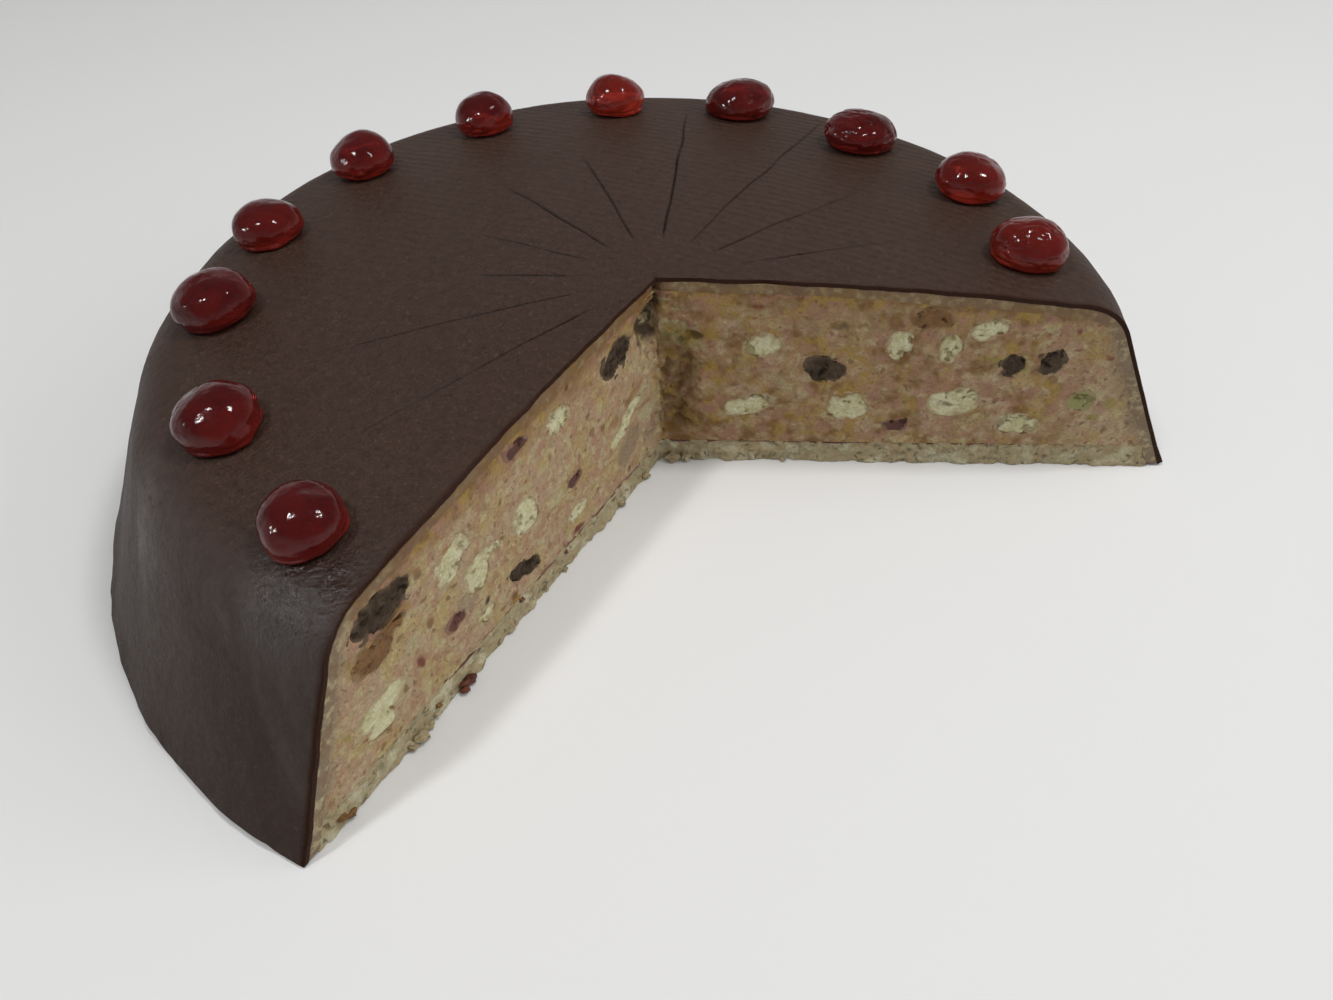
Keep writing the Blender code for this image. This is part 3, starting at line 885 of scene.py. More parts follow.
@dataclass(frozen=True)
class Chocolate(Finish):
    """Dull dark coating with combed ripples, fine grain, knife marks and a painted sheen on the wall."""

    # Colour of the painted sheen: the room's grey reflection on the wall.
    painted_sheen: Colour = (0.2, 0.18, 0.172)
    # Lighter tone of the grain and specks, and of the painted sheen on the ripples' crests.
    grain_and_crest_sheen: Colour = (0.075, 0.047, 0.033)
    # Dark tone of the mottle and grain, also used for painted shade on the wall, in the marks and in the glossy
    # patch.
    deep: Colour = (0.016, 0.0085, 0.0065)
    inside: Colour = (0.034, 0.015, 0.01)
    comb: float = math.radians(54)
    wet: float = 0.1

    def dress(self, graph: Graph, shader: bpy.types.Node, place: Socket) -> None:
        """Colour from painted sheen, painted shade and the marks; bumps from ripples and grain.

        Args:
            graph: the material's.
            shader: its Principled shader.
            place: the point in the cake, in metres.
        """
        wall, gloss, cut = graph.value("wall"), graph.value("gloss"), graph.value("cut")
        mottle = MottleEffect.place(graph, place, Patches=38.0, Blotches=420.0).outputs
        combed = graph.math("MULTIPLY", graph.value("combed"), self.ripples(graph, place))
        grain = graph.noise(place, 1500.0, 4.0, Roughness=0.7)
        beads = graph.noise(place, 680.0, 2.0, Roughness=0.55)
        specks = []
        for scale, share, tone in ((620.0, 0.3, self.grain_and_crest_sheen), (480.0, 0.2, self.deep)):
            speck = SpeckEffect.place(graph, place, Scale=scale, Share=share, Size=0.34).outputs["Speck"]
            specks.append((graph.math("MULTIPLY", speck, 0.5), tone))
        colour = graph.layers(self.colour, [
            # Painted shade: the wall darker than the top.
            (graph.math("MULTIPLY", wall, 0.34), self.deep),
            # Painted sheen: the wall's grey reflection of the room, in slanting streaks.
            (self.painted_sheen_share(graph, place, wall, mottle["Patch"]), self.painted_sheen),
            (graph.ramp(mottle["Blotch"], 0.0, 1.0, 0.0, 0.3), self.deep),
            # Painted sheen: the ripples' crests lighter.
            (graph.math("MULTIPLY", combed, 0.26), self.grain_and_crest_sheen),
            (graph.ramp(grain, 0.5, 0.72, 0.0, 0.6), self.grain_and_crest_sheen),
            (graph.ramp(grain, 0.32, 0.48, 0.45, 0.0), self.deep),
            *specks,
            # Painted shade: the glossy patch darkened, standing for darker surroundings reflected in it.
            (graph.math("MULTIPLY", gloss, 0.85), self.deep),
            # Painted shade in the grooves of the portion marks.
            (graph.value("mark"), self.deep),
            (cut, self.inside),
        ])
        graph.feed(shader.inputs["Base Color"], colour)
        dull = graph.math("ADD", graph.math("MULTIPLY", wall, 0.12), graph.math("MULTIPLY", cut, 0.24), clamp=True)
        shine = graph.math("SUBTRACT", 0.28, dull)
        shine = graph.math("ADD", shine, graph.math("MULTIPLY", gloss, 0.4), clamp=True)
        graph.feed(shader.inputs["Specular IOR Level"], shine)
        rough = graph.ramp(grain, 0.3, 0.7, self.roughness - 0.1, self.roughness + 0.12)
        graph.feed(shader.inputs["Roughness"], graph.mix(gloss, rough, (self.wet,) * 3))
        beads = graph.math("MULTIPLY", beads, gloss)
        self.bump(graph, shader, ((combed, 0.15), (grain, 0.22), (mottle["Blotch"], 0.12), (beads, 1.0)))

    def ripples(self, graph: Graph, place: Socket) -> Socket:
        """The comb's waves across the top, 0 to 1."""
        turned = graph.add("Mapping", {"Vector": place, "Rotation": (0, 0, self.comb)}).outputs[0]
        waves = {"Vector": turned, "Scale": 105.0, "Distortion": 3.0, "Detail": 2.0, "Detail Scale": 0.8}
        return graph.add("TexWave", waves, bands_direction="Y").outputs["Fac"]

    @staticmethod
    def painted_sheen_share(graph: Graph, place: Socket, wall: Socket, patch: Socket) -> Socket:
        """How much painted sheen lies on the wall: the mesh's sheen broken by patches, and slanting streaks in it.

        Args:
            graph: the material's.
            place: the point in the cake, in metres.
            wall: how much the point belongs to the wall.
            patch: soft patches.

        Returns:
            The mask, 0 to 1.
        """
        # Stretched noise for the light streaks of painted sheen along the wall.
        smear = {"Vector": place, "Rotation": (0, math.radians(28), 0), "Scale": (1.0, 1.0, 0.22)}
        smear = graph.noise(graph.add("Mapping", smear).outputs[0], 90.0, 4.0)
        sheen = graph.value("sheen")
        share = graph.math("MULTIPLY", sheen, graph.ramp(patch, 0.1, 0.9, 0.6, 1.0))
        streak = graph.ramp(sheen, 0.1, 0.6, 0.04, 0.3)
        streak = graph.math("MULTIPLY", streak, graph.ramp(smear, 0.5, 0.68, 0.0, 1.0))
        return graph.math("ADD", share, graph.math("MULTIPLY", wall, streak), clamp=True)


@dataclass(frozen=True)
class Paste(Finish):
    """Smooth paste, tanned by what soaked in: marzipan, and the filling with its stains and painted shade."""

    second: Colour = (0.3, 0.2, 0.12)
    third: Colour = (0.5, 0.45, 0.25)
    stains_and_shade: tuple[tuple[Tint, Colour], ...] = ()
    lumps: float = 500.0
    relief: float = 0.2
    specks: float = 0.0
    speck: Colour = (0.15, 0.06, 0.03)
    pale: Colour = (0.47, 0.41, 0.225)
    shade: Colour = (0.12, 0.075, 0.04)
    hues: tuple[Colour, Colour] = ((0.36, 0.235, 0.05), (0.34, 0.18, 0.125))

    def dress(self, graph: Graph, shader: bpy.types.Node, place: Socket) -> None:
        """Three tones in patches of three sizes, specks, stains and painted shade over them and in pores, and a
        light crumb.

        Args:
            graph: the material's.
            shader: its Principled shader.
            place: the point in the cake, in metres.
        """
        shift = graph.add("Mapping", {"Vector": place, "Location": (0.31, 0.17, 0.23)}).outputs[0]
        broad = MottleEffect.place(graph, place, Patches=70.0, Blotches=240.0).outputs
        small = MottleEffect.place(graph, shift, Patches=130.0, Blotches=430.0).outputs
        crumb = CrumbEffect.place(graph, place, Lumps=self.lumps, Pores=900.0, Open=0.37).outputs
        grain = graph.noise(shift, 1300.0, 3.0, Roughness=0.7)
        colour = graph.layers(self.colour, [
            (graph.ramp(broad["Patch"], 0.1, 1.0, 0.0, 0.35), self.second),
            (graph.ramp(small["Patch"], 0.3, 1.0, 0.0, 0.65), self.third),
            (graph.ramp(broad["Blotch"], 0.35, 1.0, 0.0, 0.7), self.second),
            (graph.ramp(small["Blotch"], 0.45, 1.0, 0.0, 0.65), self.pale),
            *self.dots(graph, shift),
            *((graph.value(tint.value), tint_tone) for tint, tint_tone in self.stains_and_shade),
            *self.clouds(graph, place, shift),
            # Painted shade in the crumb's pores.
            (graph.math("MULTIPLY", crumb["Pore"], 0.5), self.speck),
            (graph.ramp(grain, 0.35, 0.65, 0.35, 0.0), self.shade),
        ])
        graph.feed(shader.inputs["Base Color"], colour)
        shader.inputs["Specular IOR Level"].default_value = 0.3
        self.bump(graph, shader, ((crumb["Height"], self.relief), (grain, self.relief * 0.7)))

    def dots(self, graph: Graph, place: Socket) -> list[tuple[Socket, Colour]]:
        """Dark specks of two sizes and pale ones, each a mask and its tone.

        Args:
            graph: the material's.
            place: the point in the cake, in metres.

        Returns:
            The masks and tones.
        """
        kinds = ((400.0, 0.24, 0.34, self.speck), (230.0, 0.1, 0.32, self.speck), (250.0, 0.14, 0.38, self.pale))
        made = []
        for scale, share, size, tone in kinds:
            speck = SpeckEffect.place(graph, place, Scale=scale, Share=share, Size=size).outputs["Speck"]
            made.append((graph.math("MULTIPLY", speck, self.specks), tone))
        return made

    def clouds(self, graph: Graph, place: Socket, shift: Socket) -> list[tuple[Socket, Colour]]:
        """Clouds of the two hues, strong where the paste is soaked, each a mask and its tone.

        Args:
            graph: the material's.
            place: the point for the first hue.
            shift: the point for the second hue.

        Returns:
            The masks and hues.
        """
        strong = graph.ramp(graph.value("soaked"), 0.0, 0.7, 0.12, 0.75)
        made = []
        for scale, where, hue in ((160.0, place, self.hues[0]), (190.0, shift, self.hues[1])):
            cloud = graph.ramp(graph.noise(where, scale, 4.0), 0.5, 0.62, 0.0, 1.0)
            made.append((graph.math("MULTIPLY", strong, cloud), hue))
        return made


@dataclass(frozen=True)
class Crumb(Finish):
    """Open sponge crumb with painted shade in its pores and a tanned crust towards its edge."""

    crust: Colour = (0.4, 0.25, 0.08)
    # Tone of the painted shade in pores and pits, and of the darker grain.
    pore: Colour = (0.3, 0.2, 0.09)
    pore_scale: float = 520.0
    open: float = 0.36
    blotch: float = 0.4
    relief: float = 0.35
    fleck: float = 0.6
    light: Colour = (0.63, 0.61, 0.44)
    round: Colour = (0.31, 0.22, 0.13)

    def dress(self, graph: Graph, shader: bpy.types.Node, place: Socket) -> None:
        """The crust by the mesh's edge value, broken by blotches, then painted shade in pores and pits, and a fine
        grain.

        Args:
            graph: the material's.
            shader: its Principled shader.
            place: the point in the cake, in metres.
        """
        mottle = MottleEffect.place(graph, place, Patches=170.0, Blotches=420.0).outputs
        crumb = CrumbEffect.place(graph, place, Lumps=900.0, Pores=self.pore_scale, Open=self.open).outputs
        grain = graph.noise(place, 1500.0, 3.0, Roughness=0.7)
        edge = graph.math("MULTIPLY", graph.value("edge"), graph.ramp(mottle["Patch"], 0.25, 0.85, 0.0, 1.0))
        colour = graph.layers(self.colour, [
            (edge, self.crust),
            (graph.ramp(mottle["Blotch"], 0.35, 1.0, 0.0, self.blotch), self.crust),
            (graph.ramp(mottle["Patch"], 0.5, 1.0, 0.0, self.fleck), self.light),
            # Painted shade in the pores and in the mesh's pits.
            (graph.math("MULTIPLY", crumb["Pore"], 0.7), self.pore),
            (graph.math("MULTIPLY", graph.value("pit"), 0.55), self.pore),
            (graph.ramp(grain, 0.35, 0.65, 0.3, 0.0), self.pore),
            (graph.math("MULTIPLY", graph.value("rim"), 0.75), self.round),
        ])
        graph.feed(shader.inputs["Base Color"], colour)
        shader.inputs["Specular IOR Level"].default_value = 0.25
        self.bump(graph, shader, ((crumb["Height"], self.relief), (grain, 0.15)))


@dataclass(frozen=True)
class Glaze(Finish):
    """Wet and clear over a deep colour: glace cherries, jam and soaked fruit."""

    deep: Colour = (0.02, 0.004, 0.004)
    glow: float = 0.35
    # Colour of the glow of light through the glaze, painted into the base colour.
    lit: Colour = (0.3, 0.03, 0.02)
    gloss: float = 0.5
    coat: float = 1.0
    clear: float = 0.0
    rim: Colour = (0.26, 0.16, 0.1)

    def dress(self, graph: Graph, shader: bpy.types.Node, place: Socket) -> None:
        """Deep patches in the colour, light that scatters inside, a painted glow of light low down, and a sticky
        film.

        Args:
            graph: the material's.
            shader: its Principled shader.
            place: the point in the cake, in metres.
        """
        mottle = MottleEffect.place(graph, place, Patches=120.0, Blotches=500.0).outputs
        held = graph.value("light")
        light = graph.math(
            "MULTIPLY", graph.ramp(held, 0.0, 1.0, 0.25, 0.9), graph.ramp(graph.value("low"), 0.0, 1.0, 0.2, 1.0)
        )
        colour = graph.layers(self.colour, [
            (graph.ramp(mottle["Patch"], 0.1, 0.9, 0.0, 0.7), self.deep),
            # Painted light: a red glow of light through the glaze, strongest low down.
            (graph.math("MULTIPLY", light, graph.ramp(held, 0.0, 0.05, 0.0, 1.0)), self.lit),
            (graph.math("MULTIPLY", graph.value("rim"), 0.6), self.rim),
        ])
        graph.feed(shader.inputs["Base Color"], colour)
        plain = {
            "Transmission Weight": self.clear,
            "IOR": 1.4,
            "Specular IOR Level": self.gloss,
            "Subsurface Weight": self.glow,
            "Subsurface Radius": (1.0, 0.12, 0.1),
            "Subsurface Scale": 2.5 * MM,
            "Coat Weight": self.coat,
            "Coat Roughness": 0.05,
        }
        for name, value in plain.items():
            shader.inputs[name].default_value = value
        self.bump(graph, shader, ((mottle["Patch"], 0.25), (mottle["Blotch"], 0.03)))


# Tones of the filling's tints: stains, the dark and soaked ones also painted shade in hollows and on the right cut.
STAIN_AND_SHADE_TONES = (
    (Tint.PASTE, (0.235, 0.18, 0.115)),
    (Tint.SOAKED, (0.185, 0.09, 0.02)),
    (Tint.PALE, (0.42, 0.38, 0.21)),
    (Tint.GREEN, (0.27, 0.235, 0.06)),
    (Tint.DARK, (0.038, 0.023, 0.014)),
    (Tint.BERRY, (0.15, 0.035, 0.025)),
)
CHOCOLATE = Chocolate("chocolate_coating", (0.0415, 0.0195, 0.0118), 0.55)
MARZIPAN = Paste(
    "marzipan_paste", (0.212, 0.155, 0.1), 0.6, second=(0.195, 0.125, 0.065), third=(0.25, 0.2, 0.13),
    stains_and_shade=((Tint.SOAKED, (0.16, 0.08, 0.02)), (Tint.DARK, (0.02, 0.012, 0.008))),
    hues=((0.19, 0.11, 0.025), (0.15, 0.072, 0.04)), lumps=900.0, relief=0.06,
)
FILLING = Paste(
    "punch_filling_paste", (0.4, 0.283, 0.178), 0.68, second=(0.345, 0.187, 0.112), third=(0.39, 0.3, 0.095),
    stains_and_shade=STAIN_AND_SHADE_TONES, specks=0.7,
)
SPONGE = Crumb(
    "sponge_crumb", (0.385, 0.33, 0.2), 0.85, crust=(0.3, 0.2, 0.085), pore=(0.13, 0.095, 0.055), open=0.4,
    fleck=0.5,
)
JAM = Glaze("jam_gel", (0.13, 0.04, 0.022), 0.45, deep=(0.06, 0.012, 0.008), glow=0.0, coat=0.15)
CHERRY = Glaze(
    "glace_cherry", (0.15, 0.009, 0.01), 0.1, deep=(0.08, 0.005, 0.007), lit=(0.55, 0.05, 0.026),
    glow=0.25, coat=0.0, clear=0.66, gloss=0.3,
)
CHUNK_FINISHES = {
    "pale_chunk": Crumb(
        "pale_sponge", (0.58, 0.56, 0.35), 0.85, crust=(0.36, 0.3, 0.12), pore=(0.24, 0.17, 0.07), open=0.33,
    ),
    "dark_chunk": Crumb(
        "cocoa_sponge", (0.05, 0.031, 0.017), 0.8, crust=(0.085, 0.058, 0.036), pore=(0.014, 0.009, 0.006),
        light=(0.1, 0.07, 0.045), round=(0.13, 0.09, 0.055), blotch=0.6, open=0.42, relief=0.6, fleck=0.5,
    ),
    "soaked_chunk": Crumb(
        "soaked_sponge", (0.17, 0.085, 0.03), 0.6, crust=(0.23, 0.12, 0.04), pore=(0.06, 0.025, 0.01),
        light=(0.24, 0.12, 0.04), round=(0.26, 0.17, 0.09), blotch=0.7, fleck=0.5,
    ),
    "green_chunk": Crumb(
        "green_sponge", (0.27, 0.27, 0.1), 0.75, crust=(0.33, 0.27, 0.13), pore=(0.2, 0.17, 0.07), fleck=0.2,
    ),
    "fruit_piece": Glaze("stewed_fruit", (0.1, 0.032, 0.02), 0.6, deep=(0.055, 0.018, 0.012), glow=0.0, coat=0.0),
}


# --- The coat ---


@dataclass
class Coat:
    """The chocolate coat, with the portion marks of the knife and the combed wall."""

    form: CakeForm = CakeForm()
    face: CutFace = CutFace()
    thickness: float = 1.4
    foot: float = 0.35
    portion: float = math.radians(22.5)
    mark_inner: float = 16.0
    mark_ends: tuple[float, ...] = (62, 70, 110, 105, 73, 66, 52, 48, 77, 81)
    mark_depth: float = 0.7
    mark_half: float = 0.3
    patch: tuple[float, float, float] = (-97.9, -56.5, 46.5)
    patch_reach: float = 10.5
    rows: tuple[int, int, int] = (120, 16, 44)
    columns: int = 300
    mark_columns: int = 13
    mark_reach: float = math.radians(0.95)
    mark_clear: float = math.radians(1.1)
    wall_middle: float = 135.0
    levels: tuple[float, ...] = (0, 0.12, 0.5, 0.88, 1.0)
    # Angles where the painted sheen on the wall fades in and out.
    sheen_side: float = math.radians(190)
    sheen_clear: float = math.radians(206)
    sheen_back: tuple[float, float] = (math.radians(150), math.radians(186))

    def mark_angles(self) -> Array:
        """The portion marks' angles from the apex."""
        return self.portion * (np.arange(len(self.mark_ends)) - 0.5)

    def angles(self) -> Array:
        """Columns: even ones all round, and a close set at each mark."""
        even = np.linspace(Cut.RIGHT.value, Cut.LEFT.value, self.columns)
        close = self.mark_angles()[:, None] + np.linspace(-1, 1, self.mark_columns) * self.mark_reach
        near = np.abs(even[:, None] - self.mark_angles()[None]).min(axis=1) < self.mark_clear
        return np.sort(np.concatenate([even[~near], close.ravel()]))

    def groove(self, angle: Array, distance: Array, points: Array) -> Array:
        """How deep a portion mark lies under each point.

        A mark is a bell across its own line, which wanders a little, and fades in and out at its ends.

        Args:
            angle: of the points from the apex.
            distance: of the points from the apex.
            points: the points.

        Returns:
            0 to 1, by column and row.
        """
        deep = np.zeros(distance.shape)
        for index, (mark, end) in enumerate(zip(self.mark_angles(), self.mark_ends)):
            line = np.stack([distance, np.full(distance.shape, 40.0 * index), 0 * distance], axis=-1)
            wander = 0.45 * soft_noise(line, 13, 5) * smooth(14, 40, distance)
            press = 0.78 + 0.3 * soft_noise(line, 9, 6)
            across = distance * (angle - mark) - wander
            ends = smooth(self.mark_inner, self.mark_inner + 8, distance) * smooth(end, end - 9, distance)
            deep = np.maximum(deep, press * ends * np.exp(-((across / self.mark_half) ** 2)))
        return deep

    def build(self) -> bpy.types.Object:
        """Outer skin moved along its outward vectors by waves, marks and wall facets; inner skin plain."""
        angles, rows = self.angles(), profile_rows(*self.rows)
        outer = self.form.skin(angles, rows, 0, self.foot)
        inner = self.form.skin(angles, rows, self.thickness, self.foot)
        out = self.form.outward(outer, rows[None, :])
        distance = self.face.along(outer)
        wall = smooth(1.15, 2.0, np.broadcast_to(rows[None, :], distance.shape))
        mark = self.groove(angles[:, None], distance, outer)
        edge = self.edge(angles[:, None], distance)
        top = 0.22 * crumb_noise(outer, 42, 2, 3) + 0.05 * crumb_noise(outer, 6, 2, 4)
        stretched = outer * np.array([1, 1, 0.45])
        side = 0.5 * crumb_noise(stretched, 22, 2, 7) + 0.14 * crumb_noise(stretched, 5, 2, 8)
        bumpy = self.bumpy(outer)
        combed = 0.25 + 0.75 * smooth(-30, 50, outer[..., 0] * 0.75 + outer[..., 1] * 0.66)
        combed = combed * (0.65 + 0.35 * crumb_noise(outer, 30, 2, 12))
        relief = top * (1 - wall) + side * wall + 0.4 * bumpy * crumb_noise(outer, 2.6, 3, 9)
        relief = relief * (0.35 + 0.65 * (1 - edge)) - 0.25 - self.mark_depth * mark
        outer = outer + out * relief[..., None]
        foot = smooth(2.82, 3.0, np.broadcast_to(rows[None, :], distance.shape))
        level = outer * np.array([1, 1, 0])
        lift = 0.5 * np.clip(crumb_noise(level, 9, 3, 10), 0, 1)
        lift = lift + 0.8 * smooth(0.12, 0.22, crumb_noise(level, 17, 2, 17))
        outer[..., 2] = outer[..., 2] + foot * lift
        solid, place = wedge_solid(outer, inner, np.array(self.levels), (6, 12))
        column, row, level = place.T
        solid.values = {
            "wall": wall[column, row] * (level == 0),
            # How deep the marks are, which the finish also paints as shade in the grooves.
            "mark": mark[column, row] * (level == 0),
            "cut": ((level > 0) & (level < 4) | (level == 0) & ((column == 0) | (column == len(angles) - 1))) * 1.0,
            # The glossy patch, which the finish also darkens as painted shade.
            "gloss": bumpy[column, row] * (level == 0),
            # Painted sheen on the wall, for the finish.
            "sheen": (wall * self.sheen(outer))[column, row] * (level == 0),
            "combed": (combed * (1 - wall))[column, row],
        }
        self.fray(solid, place, len(angles))
        return Piece.make("chocolate_coat_skin", solid, CHOCOLATE, "chocolate", ("chocolate_coat",))

    def edge(self, angle: Array, distance: Array) -> Array:
        """1 at the cut edges, falling as a bell over a few millimetres of the way to the nearer cut."""
        near = np.minimum(np.abs(angle - Cut.LEFT.value), np.abs(angle - Cut.RIGHT.value))
        return np.exp(-((distance * np.minimum(near, 1.5) / 2.6) ** 2))

    def sheen(self, points: Array) -> Array:
        """Painted sheen on the wall, heavier round to the side, in bands that slant down towards the left cut.

        Args:
            points: the outer surface.

        Returns:
            The painted sheen, 0 to 1.
        """
        around = np.arctan2(points[..., 1], points[..., 0]) % (2 * math.pi)
        arc, height = around * self.wall_middle, points[..., 2]
        slant = np.stack([arc + 0.75 * height, (arc - height) / 7, 0 * arc], axis=-1)
        bands = crumb_noise(slant, 11, 3, 18)
        painted_sheen = 0.36 * smooth(self.sheen_clear, self.sheen_side, around) * smooth(-12, 40, height)
        painted_sheen = painted_sheen * (0.35 + 0.65 * smooth(*self.sheen_back, around))
        return (painted_sheen * (0.8 + 0.45 * bands) + 0.1 * smooth(0.1, 0.6, bands)).clip(0, 1)

    def bumpy(self, points: Array) -> Array:
        """The rough glossy patch on the shoulder by the left cut: a bell about one place."""
        away = (points - np.array(self.patch)) * np.array([0.85, 1, 1])
        return np.exp(-((np.linalg.norm(away, axis=-1) / self.patch_reach) ** 2))

    def fray(self, solid: Solid, place: Array, columns: int) -> None:
        """Moves the cut edges along into the cake by the cut's waves and a little chipping.

        Args:
            solid: the mesh.
            place: each point's column, row and level number.
            columns: number of columns.
        """
        for cut, column in ((Cut.RIGHT, 0), (Cut.LEFT, columns - 1)):
            chosen = (place[:, 0] == column) | (place[:, 1] == 0)
            points = solid.points[chosen]
            depth = 0.25 * self.face.bite(points, cut) + 0.2 * crumb_noise(points, 2.2, 3, 15)
            depth += 0.35 * crumb_noise(points, 8, 2, 16)
            depth = np.clip(depth, -0.3, 1.2) * smooth(0, 6, self.face.along(points))
            solid.points[chosen] = points + self.face.into(points, cut) * depth[:, None]


# --- The layers inside ---


@dataclass
class Layer:
    """A layer that the cut faces show: a fine grid on each cut, coarse and plain where it is hidden."""

    form: CakeForm = CakeForm()
    face: CutFace = CutFace()
    columns: int = 31
    rows: tuple[int, ...] = ()
    levels: int = 8
    every: tuple[int, int] = (3, 12)

    def angles(self) -> Array:
        """Columns, spread evenly from the right cut to the left."""
        return np.linspace(Cut.RIGHT.value, Cut.LEFT.value, self.columns)

    def finish_cuts(self, solid: Solid, place: Array, columns: int) -> None:
        """Sets the layer's values, and moves each cut's points into the cake by the bite and the layer's relief.

        Args:
            solid: the mesh.
            place: each point's column, row and level number.
            columns: number of columns.
        """
        self.set_values(solid, place, columns)
        upright = place[:, 1] == 0
        for cut, column in ((Cut.RIGHT, 0), (Cut.LEFT, columns - 1)):
            chosen = (place[:, 0] == column) & ~upright
            if cut is Cut.LEFT:
                chosen |= upright
            points = solid.points[chosen]
            depth = self.face.bite(points, cut) + self.relief(points, cut)
            solid.points[chosen] = points + self.face.into(points, cut) * depth[:, None]

    def relief(self, points: Array, cut: Cut) -> Array:
        """The layer's own relief, in millimetres into the cake."""
        return np.zeros(points.shape[:-1])

    def set_values(self, solid: Solid, place: Array, columns: int) -> None:
        """Sets the mesh's named values from its points on the flat cuts."""


@dataclass
class Marzipan(Layer):
    """The smooth paste under the coat."""

    depth: float = 1.4
    thickness: float = 2.7
    foot: float = 0.65
    rows: tuple[int, ...] = (200, 30, 80)
    soaked_on_right: float = 0.66

    def build(self) -> bpy.types.Object:
        """A layer between two depths under the skin."""
        angles, rows = self.angles(), profile_rows(*self.rows)
        outer = self.form.skin(angles, rows, self.depth, self.foot)
        inner = self.form.skin(angles, rows, self.depth + self.thickness, self.foot)
        wave = 0.35 * crumb_noise(inner, 16, 3, 41)
        inner = inner + self.form.outward(inner, rows[None, :]) * wave[..., None]
        inner[..., 2] = np.maximum(inner[..., 2], self.foot)
        solid, place = wedge_solid(outer, inner, np.linspace(0, 1, self.levels), self.every)
        self.finish_cuts(solid, place, len(angles))
        return Piece.make("marzipan_skin", solid, MARZIPAN, "marzipan", ("marzipan_layer",))

    def relief(self, points: Array, cut: Cut) -> Array:
        """A faint drag of the knife."""
        return 0.1 * crumb_noise(points, 3.0, 4, 51)

    def set_values(self, solid: Solid, place: Array, columns: int) -> None:
        """The paste over the top is soaked, and paler down the wall; painted shade darkens the slit at the apex.

        Args:
            solid: the mesh.
            place: each point's column, row and level number.
            columns: number of columns.
        """
        under = self.form.dome_height(solid.points) - solid.points[:, 2]
        over_top = smooth(118, 100, self.face.along(solid.points)) * smooth(7, 4, under)
        over_top = over_top * np.where(place[:, 0] == 0, self.soaked_on_right, 1.0)
        solid.values["soaked"] = over_top * (
            0.74 + 0.3 * crumb_noise(solid.points, 6, 4, 43) + 0.22 * crumb_noise(solid.points, 1.6, 3, 44)
        ).clip(0, 1)
        # Painted shade in the slit at the apex.
        solid.values["dark"] = smooth(1.6, 0.5, self.face.along(solid.points)) * 0.9


